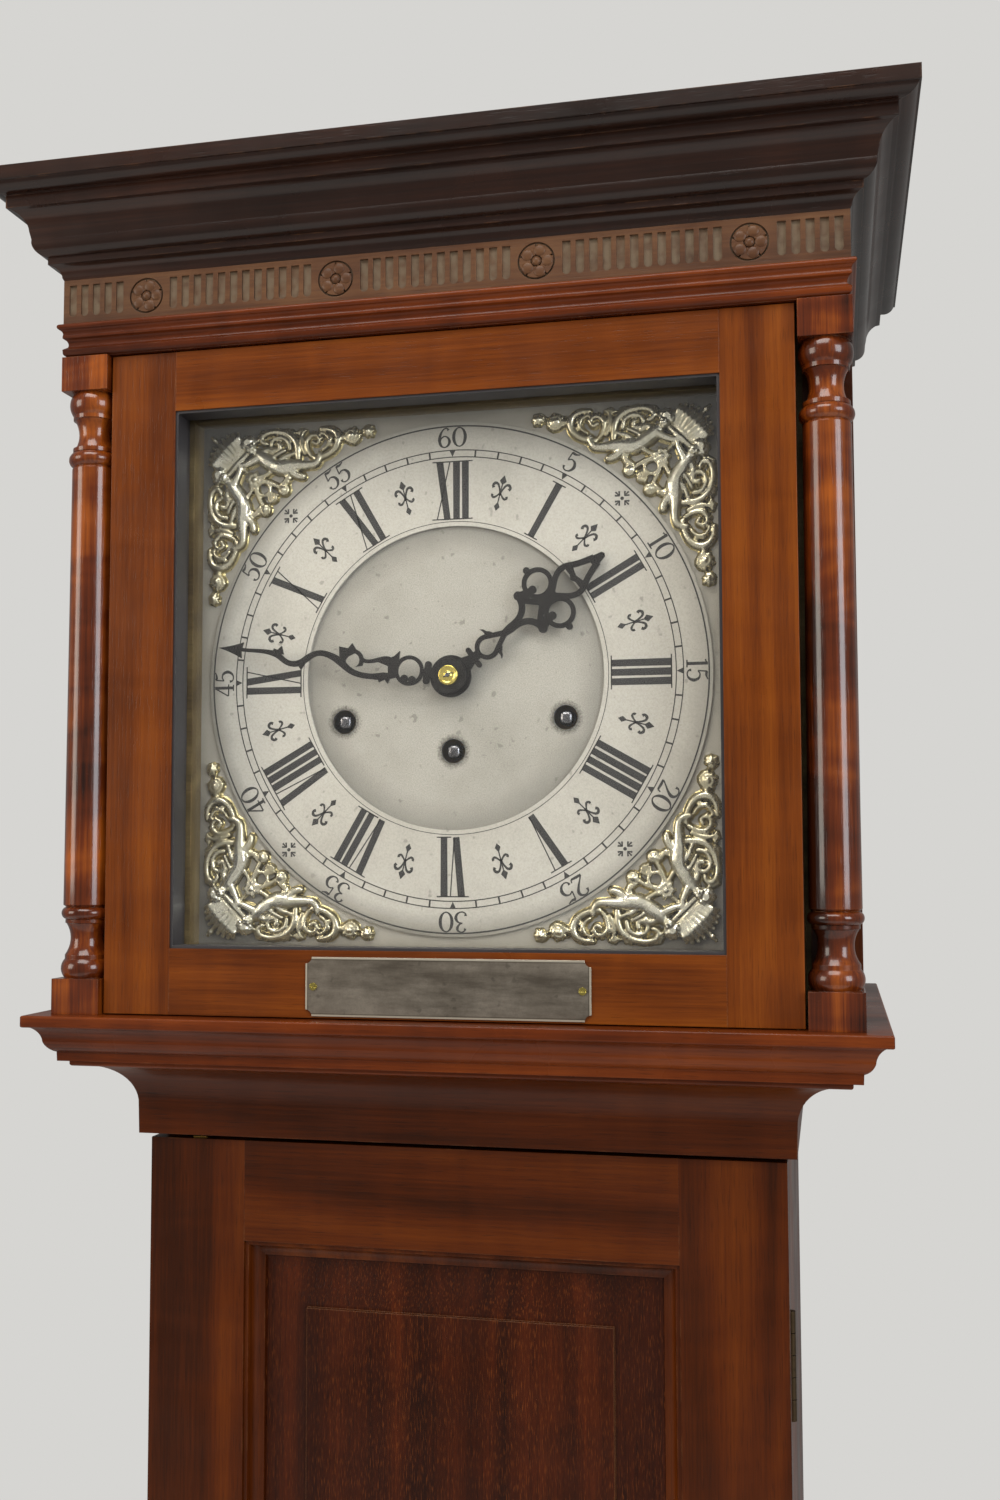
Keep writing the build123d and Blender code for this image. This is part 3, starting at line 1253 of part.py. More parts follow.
def make_hammers(shaft_z, last_x):
    y = y_at(hammer_depth)
    long = last_x - chime_first_x + 26
    middle = (chime_first_x + last_x) / 2
    shaft = Pos(middle, y, shaft_z) * Rot(0, 90, 0) * Cylinder(hammer_shaft_radius, long)
    head_z = shaft_z - hammer_arm
    head_front = y_at(chime_depth) - chime_rod_radius - hammer_gap
    for i in range(chime_count):
        x = chime_first_x + i * chime_spacing
        shaft += Pos(x, y, shaft_z) * Rot(0, 90, 0) * Cylinder(5, 6)
        shaft += block(x - 1.5, x + 1.5, y - 1.5, y + 1.5, head_z, shaft_z)
        shaft += Pos(x, (head_front + y - 5) / 2, head_z) * Rot(90, 0, 0) * Cylinder(
            hammer_radius, head_front - y + 5)
    save("chime_hammers", shaft)


make_skirting()
make_base()
make_trunk_carcase()
make_backboard()
make_hinges()
make_trunk_door()
make_hood_body()
make_cornice()
make_architrave()
make_frieze()
make_columns()
make_hood_shelf()
make_mask()
make_hood_door()
make_plaque()
make_dial()
make_spandrels()
make_hands()
make_plates()
make_going_train()
make_motion_work()
make_anchor()
make_pendulum()
make_barrels()
make_weights()
make_chime()
print("origin to the wall", wall, "dial centre", dial_height, "top", cornice_top)
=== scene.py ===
import math
import bpy
import bmesh
from mathutils import Matrix, Vector


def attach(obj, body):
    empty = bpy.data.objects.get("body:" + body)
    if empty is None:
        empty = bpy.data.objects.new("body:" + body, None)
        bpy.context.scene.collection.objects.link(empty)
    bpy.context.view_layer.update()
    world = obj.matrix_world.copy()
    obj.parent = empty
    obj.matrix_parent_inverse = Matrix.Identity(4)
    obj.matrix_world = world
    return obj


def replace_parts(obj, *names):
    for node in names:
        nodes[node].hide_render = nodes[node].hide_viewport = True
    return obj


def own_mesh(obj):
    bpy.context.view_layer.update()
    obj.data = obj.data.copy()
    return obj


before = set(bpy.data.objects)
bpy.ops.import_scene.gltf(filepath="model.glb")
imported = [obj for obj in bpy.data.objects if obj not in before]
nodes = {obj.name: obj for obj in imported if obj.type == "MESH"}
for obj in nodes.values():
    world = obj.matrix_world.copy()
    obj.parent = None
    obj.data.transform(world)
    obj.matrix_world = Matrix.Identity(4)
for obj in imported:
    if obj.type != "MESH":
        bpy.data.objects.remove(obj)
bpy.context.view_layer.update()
print("clock frame loaded")

mm = 0.001
dialCentre = 1.696  # above the floor
dialFace = -0.0787
fullTurn = 2 * math.pi


def addObject(name, data):
    made = bpy.data.objects.new(name, data)
    bpy.context.scene.collection.objects.link(made)
    return made


# Viewpoint: degrees turned left, up and tilted, and a lens in millimetres

viewpoint = {
    "place": (0.19765, -0.85791, 1.60308), "left": 12.456, "up": 3.813, "tilt": 0.156,
    "lens": 35.826, "sensor": 36.0, "nearest": 0.02,
}


def setUpCamera():
    data = bpy.data.cameras.new("viewpoint")
    data.sensor_width = viewpoint["sensor"]  # along the picture's long side
    data.lens = viewpoint["lens"]
    data.clip_start = viewpoint["nearest"]
    camera = addObject("viewpoint", data)
    turn = Matrix.Identity(4)
    for way, axis in (("left", "Z"), ("up", "X"), ("tilt", "Y")):
        turn = turn @ Matrix.Rotation(math.radians(viewpoint[way]), 4, axis)
    ahead = Matrix(((1, 0, 0, 0), (0, 0, -1, 0), (0, 1, 0, 0), (0, 0, 0, 1)))
    camera.matrix_world = Matrix.Translation(viewpoint["place"]) @ turn @ ahead
    bpy.context.scene.camera = camera


setUpCamera()
bpy.context.scene.view_settings.view_transform = "Standard"


# Node helpers

def tone(red, green, blue):
    # a colour as a picture shows it, 0 to 255, made linear
    made = []
    for part in (red, green, blue):
        share = part / 255
        made.append(share / 12.92 if share <= 0.04045 else ((share + 0.055) / 1.055) ** 2.4)
    return (*made, 1.0)


def scaled(colour, share):
    return tuple(part * share for part in colour)


def put(tree, kind, inputs=None, **settings):
    # a new node; what is given as a signal or a socket is linked, the rest is set
    made = tree.nodes.new(kind)
    for key, value in settings.items():
        setattr(made, key, value)
    for key, value in (inputs or {}).items():
        value = getattr(value, "socket", value)
        if isinstance(value, bpy.types.NodeSocket):
            tree.links.new(value, made.inputs[key])
        else:
            made.inputs[key].default_value = value
    return made


def operator(kind, swapped=False):
    def run(self, other=0.5):
        return self.act(kind, other, self) if swapped else self.act(kind, self, other)
    return run


class Signal:
    # a number that nodes work out, and that adds and multiplies like one

    def __init__(self, tree, socket):
        self.tree, self.socket = tree, socket

    def act(self, kind, first, second=0.5, clamp=False):
        made = put(self.tree, "ShaderNodeMath", {0: first, 1: second}, operation=kind, use_clamp=clamp)
        return Signal(self.tree, made.outputs[0])

    __add__, __sub__, __mul__ = operator("ADD"), operator("SUBTRACT"), operator("MULTIPLY")
    __truediv__, __mod__, __lt__ = operator("DIVIDE"), operator("MODULO"), operator("LESS_THAN")
    __rsub__, __abs__ = operator("SUBTRACT", True), operator("ABSOLUTE")
    least, most, sine = operator("MINIMUM"), operator("MAXIMUM"), operator("SINE")

    def fade(self, low, high, start=0.0, end=1.0):
        made = put(self.tree, "ShaderNodeMapRange",
                   {"Value": self, "From Min": low, "From Max": high, "To Min": start, "To Max": end})
        return Signal(self.tree, made.outputs[0])

    def waves(self, count):
        return (self * count).sine().fade(-1.0, 1.0)


class Surface:
    # a new material: its nodes, its shader and the place on the object

    def __init__(self, name):
        self.material = bpy.data.materials.new(name)
        self.material.use_nodes = True
        self.tree = self.material.node_tree
        self.tree.nodes.clear()
        self.shader = put(self.tree, "ShaderNodeBsdfPrincipled")
        self.out = put(self.tree, "ShaderNodeOutputMaterial", {0: self.shader.outputs[0]})
        self.object = put(self.tree, "ShaderNodeTexCoord").outputs
        self.place = self.object["Object"]
        self.across, self.deep, self.up = self.parts(self.place)

    def parts(self, vector):
        return [Signal(self.tree, part)
                for part in put(self.tree, "ShaderNodeSeparateXYZ", {0: vector}).outputs]

    def joined(self, first, second, third):
        parts = {0: first, 1: second, 2: third}
        return put(self.tree, "ShaderNodeCombineXYZ", parts).outputs[0]

    def vector(self, kind, first, second):
        return put(self.tree, "ShaderNodeVectorMath", {0: first, 1: second}, operation=kind).outputs

    def speckle(self, scale, detail=2.0, rough=0.5, bend=0.0, at=None):
        if isinstance(scale, (int, float)):
            scale = (scale,) * 3
        place = self.vector("MULTIPLY", at or self.place, scale)[0]
        made = put(self.tree, "ShaderNodeTexNoise", {
            "Vector": place, "Scale": 1.0, "Detail": detail, "Roughness": rough, "Distortion": bend})
        return Signal(self.tree, made.outputs[0])

    def gap(self, across, up):
        # how far a point is from one on the dial, given from the dial's centre
        there = (across, 0, dialCentre + up)
        flat = self.joined(self.across, 0, self.up)
        return Signal(self.tree, self.vector("DISTANCE", flat, there)["Value"])

    def mix(self, share, first, second):
        # mixes two colours, each a socket or a colour as a picture shows it
        first, second = (tone(*c) if isinstance(c, tuple) else c for c in (first, second))
        parts = {0: share, 6: first, 7: second}
        return put(self.tree, "ShaderNodeMix", parts, data_type="RGBA").outputs[2]

    def choose(self, share, first, second):
        parts = {0: share, 4: first, 5: second}
        return put(self.tree, "ShaderNodeMix", parts, data_type="VECTOR").outputs[1]

    def softEdge(self, radius):
        return put(self.tree, "ShaderNodeBevel", {"Radius": radius}, samples=4).outputs[0]

    def set(self, **values):
        for name, value in values.items():
            self.shader.inputs[name.replace("_", " ")].default_value = value

    def done(self, colour, roughness, height, bumps, radius):
        distance, strength = bumps
        bump = put(self.tree, "ShaderNodeBump", {
            "Height": height, "Distance": distance, "Strength": strength,
            "Normal": self.softEdge(radius)})
        ends = {"Base Color": colour, "Roughness": roughness.socket, "Normal": bump.outputs[0]}
        for name, socket in ends.items():
            self.tree.links.new(socket, self.shader.inputs[name])
        return self.material


# Woods: three tones, how strong the ribbon, figure and pores are, gloss, coat and where the noise starts.
# A wood says only what is unusual in it

woodUsual = {"ribbon": 0.1, "figure": 0.24, "pores": 0.3, "gloss": 0.3, "coat": 0.05,
             "shine": 0.18, "arrisHighlight": 0.0, "film": 0.07}
woods = {
    "doorMahogany": {
        "deep": (72, 29, 3), "mid": (103, 48, 7), "pale": (128, 66, 13), "ribbon": 0.08, "seed": 3.1},
    "caseMahogany": {
        "deep": (46, 16, 1), "mid": (70, 27, 2), "pale": (94, 42, 4), "pores": 0.4, "gloss": 0.31,
        "seed": 7.7},
    "panelMahogany": {
        "deep": (32, 9, 2), "mid": (50, 16, 2), "pale": (76, 28, 4), "ribbon": 0.09, "pores": 0.55,
        "seed": 12.4, "flecks": 0.5, "fleck": (118, 60, 20), "arrisHighlight": 0.8},
    "mouldingMahogany": {
        "deep": (58, 21, 5), "mid": (92, 38, 9), "pale": (120, 55, 15), "ribbon": 0.08, "figure": 0.3,
        "pores": 0.35, "gloss": 0.26, "coat": 0.06, "seed": 18.9},
    "darkMahogany": {
        "deep": (23, 11, 6), "mid": (38, 19, 11), "pale": (58, 31, 19), "figure": 0.3, "pores": 0.2,
        "gloss": 0.28, "coat": 0.45, "seed": 23.3, "film": 0.14},
    "columnMahogany": {
        "deep": (34, 10, 3), "mid": (88, 35, 8), "pale": (150, 76, 20), "figure": 0.75, "pores": 0.25,
        "gloss": 0.2, "coat": 0.45, "shine": 0.24, "seed": 29.8},
    "carvedMahogany": {
        "deep": (52, 29, 14), "mid": (80, 49, 28), "pale": (106, 72, 44), "ribbon": 0.05, "figure": 0.3,
        "pores": 0.25, "gloss": 0.4, "shine": 0.24, "seed": 34.2},
    "maskWood": {
        "deep": (58, 46, 26), "mid": (82, 68, 42), "pale": (104, 90, 60), "ribbon": 0.05, "figure": 0.2,
        "gloss": 0.55, "coat": 0.0, "shine": 0.24, "seed": 40.6},
    "backOak": {
        "deep": (88, 62, 36), "mid": (126, 94, 58), "pale": (158, 126, 84), "ribbon": 0.12, "figure": 0.35,
        "pores": 0.9, "gloss": 0.72, "coat": 0.0, "shine": 0.24, "seed": 46.1},
}
# noises of every wood: scale along and across the fibres, detail, roughness, bend
fibreNoise = {
    "rings": ((0.8, 13, 13), 2.0, 0.45), "broad": ((1.4, 24, 24), 3.0, 0.55),
    "fibre": ((16, 620, 620), 3.0, 0.6), "mottle": ((34, 12, 12), 2.0, 0.5, 0.6),
    "stripes": ((0.5, 9, 9), 1.0), "pores": ((85, 1500, 1500), 1.0, 0.4),
    "flecks": ((190, 2100, 2100), 1.5, 0.5), "lit": ((3, 30, 30), 2.0),
}
# noises that don't follow the fibres
wearNoise = {"rubbed": (60, 3.0, 0.7), "dirt": (7, 4.0, 0.6), "gloss": (22, 3.0, 0.6),
             "waves": (45, 2.0), "settled": (160, 3.0)}
woodMix = {"ringCount": 42.0, "stripeCount": 60.0, "broad": 0.62, "rings": 0.20, "fibre": 0.42,
           "deepAt": 0.08, "midAt": 0.33, "paleAt": 0.62, "poresAt": (0.60, 0.72), "poreDepth": 0.75,
           "poreTone": 0.34, "flecksAt": (0.56, 0.72), "litAt": (0.35, 0.65, 0.25, 1.0),
           "fibreRise": 0.2, "poreDrop": 0.6, "waveRise": 2.2, "bumps": (0.00007, 0.7)}
woodWear = {"edge": 0.0012, "edgeAt": (0.97, 0.75), "rubbed": (140, 94, 58), "rubbedAt": (0.50, 0.66),
            "rubbedShare": 0.40, "grime": (26, 13, 8), "grimeAt": (0.54, 0.80), "grimeShare": 0.30,
            "glossAt": (0.3, 0.75), "glossier": 0.03, "duller": 0.10, "round": 0.0006}


def grainPlace(made, grain):
    # the object's place, turned so that its first part runs along the fibres: X, Y or Z,
    # "mitred" for mouldings that turn a corner, or the half width inside which rails lie
    across, deep, up = made.across, made.deep, made.up
    ways = {"X": made.place, "Y": made.joined(deep, across, up), "Z": made.joined(up, across, deep)}
    if grain in ways:
        return ways[grain]
    if grain == "mitred":
        facing = made.parts(made.object["Normal"])
        return made.choose(abs(facing[1]) < abs(facing[0]), ways["X"], ways["Y"])
    return made.choose(abs(across) < grain, ways["Z"], ways["X"])


def wood(name, kind, grain, dust=None, shift=0.0):
    look = {**woodUsual, **woods[kind]}
    made = Surface(name)
    start = (look["seed"] + shift, look["seed"] * 0.7 - shift, shift)
    along = made.vector("ADD", grainPlace(made, grain), start)[0]
    noise = {key: made.speckle(*values, at=along) for key, values in fibreNoise.items()}
    wear = {key: made.speckle(*values) for key, values in wearNoise.items()}
    # growth rings cut by the board, drawn out along the fibres
    share = noise["broad"] * woodMix["broad"]
    for part, strength in ((noise["rings"].waves(woodMix["ringCount"]), woodMix["rings"]),
                           (noise["fibre"], woodMix["fibre"]), (noise["mottle"], look["figure"]),
                           (noise["stripes"].waves(woodMix["stripeCount"]), look["ribbon"])):
        share = share + (part - 0.5) * strength
    colours = put(made.tree, "ShaderNodeValToRGB", {0: share})
    first, last = colours.color_ramp.elements
    first.position, last.position = woodMix["deepAt"], woodMix["paleAt"]
    first.color, last.color = tone(*look["deep"]), tone(*look["pale"])
    colours.color_ramp.elements.new(woodMix["midAt"]).color = tone(*look["mid"])
    # open pores: short dark dashes along the fibres
    pores = noise["pores"].fade(*woodMix["poresAt"])
    colour = made.mix(pores * (look["pores"] * woodMix["poreDepth"]), colours.outputs[0],
                      scaled(look["deep"], woodMix["poreTone"]))
    if "flecks" in look:  # light caught in short pores
        lit = noise["flecks"].fade(*woodMix["flecksAt"]) * noise["lit"].fade(*woodMix["litAt"])
        colour = made.mix(lit * look["flecks"], colour, look["fleck"])
    # polish rubbed pale on sharp edges, where a rounded normal leaves the true one; on the striped panel
    # the pale runs along every arris as well, a painted highlight
    true = put(made.tree, "ShaderNodeNewGeometry").outputs["True Normal"]
    turned = made.vector("DOT_PRODUCT", made.softEdge(woodWear["edge"]), true)["Value"]
    edge = Signal(made.tree, turned).fade(*woodWear["edgeAt"])
    wearAndArrisHighlight = edge * wear["rubbed"].fade(*woodWear["rubbedAt"], look["arrisHighlight"], 1.0)
    colour = made.mix(wearAndArrisHighlight * woodWear["rubbedShare"], colour, woodWear["rubbed"])
    dirt = wear["dirt"].fade(*woodWear["grimeAt"])
    colour = made.mix(dirt * woodWear["grimeShare"], colour, woodWear["grime"])
    roughness = wear["gloss"].fade(*woodWear["glossAt"], look["gloss"] - woodWear["glossier"],
                                   look["gloss"] + woodWear["duller"])
    if dust:  # settled in what is carved deeper than the face
        settled = made.deep.fade(dust["face"], dust["deep"]) * wear["settled"].fade(*dust["at"])
        settled = settled * (made.deep < dust["back"])
        colour = made.mix(settled * dust["share"], colour, dust["tone"])
        roughness = roughness.act("ADD", roughness, settled * dust["dull"], True)
    made.set(Coat_Weight=look["coat"], Coat_Roughness=look["film"], Specular_IOR_Level=look["shine"])
    height = (noise["fibre"] * woodMix["fibreRise"] - pores * woodMix["poreDrop"]
              + wear["waves"] * woodMix["waveRise"])
    return made.done(colour, roughness, height, woodMix["bumps"], woodWear["round"])


# Metals: two tones, how metallic, gloss, scales of patches and grain, strength of spots and matting

metalUsual = {"metal": 1.0, "gloss": 0.24, "patch": 60, "grain": 900, "spots": 0.1, "matting": 0.16}
metals = {
    "silvered": {
        "deep": (142, 138, 128), "mid": (169, 166, 158), "metal": 0.25, "gloss": 0.46, "patch": 9,
        "spots": 0.35},
    "dialSilver": {
        "deep": (130, 127, 118), "mid": (156, 153, 145), "metal": 0.25, "gloss": 0.5, "patch": 12,
        "grain": 1500, "spots": 0.4, "matting": 0.34},
    "castBrass": {"deep": (152, 146, 120), "mid": (212, 209, 194), "metal": 0.92},
    "plaqueSilver": {
        "deep": (96, 87, 76), "mid": (156, 146, 132), "metal": 0.7, "gloss": 0.3, "patch": 30,
        "grain": 1200, "spots": 0.3},
    "brass": {"deep": (110, 80, 34), "mid": (184, 146, 78), "gloss": 0.28, "patch": 30, "spots": 0.3},
    "darkBrass": {"deep": (40, 30, 20), "mid": (78, 62, 42), "metal": 0.85, "gloss": 0.42, "spots": 0.3},
    "steel": {"deep": (92, 92, 96), "mid": (170, 170, 174), "patch": 40, "grain": 1100, "spots": 0.2},
    "bluedSteel": {
        "deep": (12, 11, 11), "mid": (30, 28, 27), "metal": 0.6, "gloss": 0.34, "patch": 70, "grain": 1100},
    "arborSteel": {"deep": (58, 58, 60), "mid": (112, 112, 116), "gloss": 0.2, "patch": 200, "grain": 1100},
    "nutBrass": {"deep": (160, 140, 60), "mid": (212, 194, 106), "gloss": 0.2, "patch": 200, "grain": 1100},
    "chimeSteel": {"deep": (74, 72, 74), "mid": (128, 126, 128), "gloss": 0.32, "patch": 25, "spots": 0.3},
}
metalMix = {"patch": (4.0, 0.62), "patchAt": (0.36, 0.56), "even": 0.45, "grain": (2.0, 0.6),
            "grainAt": (0.40, 0.66), "grainTone": 0.5, "spotScale": 210, "spotsAt": (0.70, 0.76),
            "spotTone": 0.45, "glossAt": (0.3, 0.7), "glossier": 0.04, "duller": 0.10, "strength": 0.6,
            "round": 0.00025}


def metal(name, kind, shading=None, bumps=0.00004):
    look = {**metalUsual, **metals[kind]}
    made = Surface(name)
    mix = metalMix
    patch = made.speckle(look["patch"], *mix["patch"])
    grain = made.speckle(look["grain"], *mix["grain"])
    colour = made.mix(patch.fade(*mix["patchAt"]), look["deep"], look["mid"])
    colour = made.mix(mix["even"], colour, look["mid"])
    matting = grain.fade(*mix["grainAt"], 0.0, look["matting"])
    colour = made.mix(matting, colour, scaled(look["mid"], mix["grainTone"]))
    spots = made.speckle(mix["spotScale"], 1.0).fade(*mix["spotsAt"]) * look["spots"]
    colour = made.mix(spots, colour, scaled(look["deep"], mix["spotTone"]))
    if shading:
        colour = shading(made, colour)
    roughness = patch.fade(*mix["glossAt"], look["gloss"] + mix["duller"], look["gloss"] - mix["glossier"])
    made.set(Metallic=look["metal"])
    return made.done(colour, roughness, grain, (bumps, mix["strength"]), mix["round"])


# Painted shade on the dial: darker round the ring's rim, most towards the lower left, and round the edge
# of the matted centre; a painted shadow of the door's rebate towards the plate's corners, and of the mask
# along its outer edges.
# A pair at a place says where a shade starts and is full, from the dial's centre; clouds and grain are
# noises: scale, detail, roughness

dialShading = {
    "rim": (116, 113, 104), "rimAt": (0.1290, 0.1397), "rimShare": 0.75, "rimUneven": 0.012,
    "rimClouds": (14, 3.0), "rimShadeLowerLeft": (-0.14, 0.14, 1.3, 0.6), "clouds": (18, 3.0),
    "edge": (94, 92, 86), "edgeAt": (0.066, 0.0825), "edgeShadeShare": 0.65, "uneven": 0.010,
    "ringInside": 0.1, "corner": (138, 134, 124), "far": (78, 76, 72), "rebateShadowAt": (0.150, 0.188),
    "rebateShadowShare": 0.7, "maskShadow": (66, 60, 44), "maskShadowAt": (0.1405, 0.1530), "maskShadowShare": 0.75,
    "holes": ((-0.0615, -0.023), (0.0, -0.040), (0.0615, -0.023)), "soot": (46, 42, 36),
    "sootAt": (0.0066, 0.0098), "sootShare": 0.85, "sootUneven": 0.006, "sootGrain": (900, 2.0, 0.7),
}


def ringShade(made, colour):
    look = dialShading
    uneven = (made.speckle(*look["rimClouds"]) - 0.5) * look["rimUneven"]
    # painted shade round the ring's rim, strongest towards the lower left and weakest towards the upper right
    share = (made.gap(0, 0) + uneven).fade(*look["rimAt"], 0.0, look["rimShare"])
    corner = (made.up - dialCentre + made.across).fade(*look["rimShadeLowerLeft"])
    return made.mix(share.act("MULTIPLY", share, corner, True), colour, look["rim"])


def plateShade(made, colour):
    look = dialShading
    far = made.gap(0, 0)
    uneven = (made.speckle(*look["clouds"]) - 0.5) * look["uneven"]
    moved = far + uneven
    inside = far < look["ringInside"]
    # painted shade round the edge of the matted centre, inside the ring
    share = moved.fade(*look["edgeAt"], 0.0, look["edgeShadeShare"])
    colour = made.mix(share * inside, colour, look["edge"])
    grain = (made.speckle(*look["sootGrain"]) - 0.5) * look["sootUneven"]
    for hole in look["holes"]:
        share = (made.gap(*hole) + grain).fade(*look["sootAt"], look["sootShare"], 0.0)
        colour = made.mix(share, colour, look["soot"])
    # painted shadow of the door's rebate: outside the ring the plate darkens towards its corners
    corner = made.mix(moved.fade(*look["rebateShadowAt"]), look["corner"], look["far"])
    colour = made.mix((1.0 - inside) * look["rebateShadowShare"], colour, corner)
    # painted shadow of the mask along the plate's outer edges
    outer = abs(made.across).most(abs(made.up - dialCentre)) + uneven
    share = outer.fade(*look["maskShadowAt"], 0.0, look["maskShadowShare"])
    return made.mix(share, colour, look["maskShadow"])


# Castings are darker and yellower in their low parts and darkest in their hollows: partly old lacquer and
# dirt, partly painted shade. The raised tops keep the pale tone

castShading = {"hollowDirtAndShade": (74, 62, 26), "hollowDirtAndShadeShare": 0.90, "low": (146, 132, 82), "lowDirtAndShadeShare": 0.85,
               "reach": 0.0018, "shutIn": (0.35, 0.80), "lowAt": -0.0800, "highAt": -0.0835}


def castShade(made, colour):
    look = castShading
    # low parts: part old lacquer and dirt, part painted shade
    share = made.deep.fade(look["highAt"], look["lowAt"], 0.0, look["lowDirtAndShadeShare"])
    colour = made.mix(share, colour, look["low"])
    # hollows found by ambient occlusion: part dirt, part painted shade
    daylight = put(made.tree, "ShaderNodeAmbientOcclusion", {"Distance": look["reach"]}, samples=6)
    share = Signal(made.tree, daylight.outputs["AO"]).fade(*look["shutIn"], look["hollowDirtAndShadeShare"], 0.0)
    return made.mix(share, colour, look["hollowDirtAndShade"])


# The plaque's edge band is a painted highlight standing in for a filed bevel, with painted shade just inside
# it; clouds of tarnish dull the rest

plaqueShading = {"middle": (0.005, 1.5324), "half": (0.075, 0.0152), "wide": 0.0011,
                 "bright": (196, 186, 168), "dull": (70, 62, 52), "tarnishAndShadeShare": 0.7,
                 "clouds": ((22, 30, 110), 5.0, 0.65), "cloudsAt": (0.42, 0.68)}


def plaqueShade(made, colour):
    look = plaqueShading
    wide = look["wide"]
    inner = [half - abs(way - middle) for way, middle, half
             in zip((made.across, made.up), look["middle"], look["half"])]
    near = inner[0].least(inner[1])
    clouds = made.speckle(*look["clouds"]).fade(*look["cloudsAt"], 0.0, look["tarnishAndShadeShare"])
    colour = made.mix(clouds, colour, look["dull"])
    # painted shade in a band just inside the bright edge
    bevelShade = near.fade(wide, wide * 1.6, look["tarnishAndShadeShare"], 0.0) * near.fade(0.0, wide)
    colour = made.mix(bevelShade, colour, look["dull"])
    # painted highlight along the plaque's edge
    return made.mix(near.fade(wide * 0.7, wide, 1.0, 0.0), colour, look["bright"])


def plain(name, colour, gloss, scale=400.0, mottling=0.25, coat=0.0):
    # paint, wax or cord: one colour broken by fine mottling
    made = Surface(name)
    fine, wide = (made.speckle(scale * share, 3.0, 0.6) for share in (1.0, 0.05))
    shade = made.mix(fine.fade(0.35, 0.65, 0.0, mottling), colour, scaled(colour, 0.6))
    pale = tuple(min(255, part * 1.25 + 8) for part in colour)
    shade = made.mix(wide.fade(0.45, 0.70, 0.0, mottling), shade, pale)
    made.set(Coat_Weight=coat)
    roughness = wide.fade(0.3, 0.7, gloss - 0.05, gloss + 0.08)
    return made.done(shade, roughness, fine, (0.00004, 0.6), 0.0003)


def paneGlass():
    # window glass that lets the lamps' light straight through
    made = Surface("window glass")
    made.set(Base_Color=(0.965, 0.96, 0.945, 1), Roughness=0.0, IOR=1.45, Transmission_Weight=1.0)
    clear = put(made.tree, "ShaderNodeBsdfTransparent", {"Color": (0.95, 0.945, 0.93, 1)})
    lamps = put(made.tree, "ShaderNodeLightPath").outputs["Is Shadow Ray"]
    parts = {0: lamps, 1: made.shader.outputs[0], 2: clear.outputs[0]}
    mixed = put(made.tree, "ShaderNodeMixShader", parts)
    made.tree.links.new(mixed.outputs[0], made.out.inputs[0])
    return made.material


print("making finishes")
dust = {"face": -0.1189, "deep": -0.1180, "back": -0.1165, "share": 0.80, "tone": (120, 104, 84),
        "at": (0.2, 0.6), "dull": 0.35}
finish = {
    "doorStile": wood("mahogany, hood door stiles", "doorMahogany", "Z"),
    "doorRail": wood("mahogany, hood door rails", "doorMahogany", "X", shift=1.3),
    "caseUp": wood("mahogany, upright", "caseMahogany", "Z"),
    "caseAcross": wood("mahogany, across", "caseMahogany", "X", shift=2.1),
    "caseMitred": wood("mahogany, mitred moulding", "caseMahogany", "mitred", shift=3.7),
    "caseFrame": wood("mahogany, base frame", "caseMahogany", 0.1505, shift=5.2),
    "panel": wood("mahogany, striped panel", "panelMahogany", "Z"),
    "moulding": wood("mahogany, polished moulding", "mouldingMahogany", "mitred"),
    "cornice": wood("mahogany, dark cornice", "darkMahogany", "mitred"),
    "column": wood("mahogany, turned column", "columnMahogany", "Z"),
    "frieze": wood("mahogany, carved frieze", "carvedMahogany", "mitred", dust=dust),
    "mask": wood("stained mask board", "maskWood", "X"),
    "backboard": wood("oak backboard", "backOak", "Z"),
    "topBoard": wood("oak top board", "backOak", "X", shift=1.9),
    "slip": plain("slip paint", (42, 38, 40), 0.46, coat=0.1),
    "glass": paneGlass(),
    "ring": metal("silvered ring", "silvered", ringShade),
    "dial": metal("matted dial plate", "dialSilver", plateShade, bumps=0.00008),
    "spandrel": metal("cast spandrel metal", "castBrass", castShade),
    "plaque": metal("tarnished plaque", "plaqueSilver", plaqueShade),
    "brass": metal("lacquered brass", "brass"),
    "darkBrass": metal("old brass", "darkBrass"),
    "steel": metal("bright steel", "steel"),
    "blued": metal("blued steel", "bluedSteel"),
    "arbor": metal("arbor steel", "arborSteel"),
    "nut": metal("polished nut brass", "nutBrass"),
    "chime": metal("chime steel", "chimeSteel"),
    "wax": plain("engraver's wax", (19, 18, 18), 0.62),
    "line": plain("gut line", (150, 118, 70), 0.5, scale=2500.0),
}

# the nodes that each finish goes on; the rest are brass
finished = {
    "caseMitred": "plinth_skirting base_moulding throat_moulding",
    "caseFrame": "base_front_frame",
    "panel": "base_panel trunk_door_panel",
    "caseUp": "base_carcase trunk_carcase trunk_door_stiles trunk_door_sticking hood_sides",
    "backboard": "backboard",
    "darkBrass": "trunk_hinge_plates trunk_hinge_flaps hood_door_pivots",
    "dial": "dial_plate",
    "ring": "chapter_ring",
    "spandrel": "corner_spandrels",
    "line": "weight_lines",
    "chime": "chime_rods",
    "caseAcross": "trunk_door_rails",
    "topBoard": "hood_top_board",
    "cornice": "cornice",
    "frieze": "carved_frieze",
    "moulding": "architrave hood_shelf",
    "column": "column_left column_right",
    "mask": "dial_mask",
    "doorStile": "hood_door_stiles",
    "doorRail": "hood_door_rails",
    "slip": "glazing_slip",
    "glass": "glass_pane",
    "plaque": "plaque",
    "nut": "plaque_screws",
    "blued": "minute_hand hour_hand",
    "steel": "anchor pendulum_rod",
}
finishOf = {name: look for look, names in finished.items() for name in names.split()}
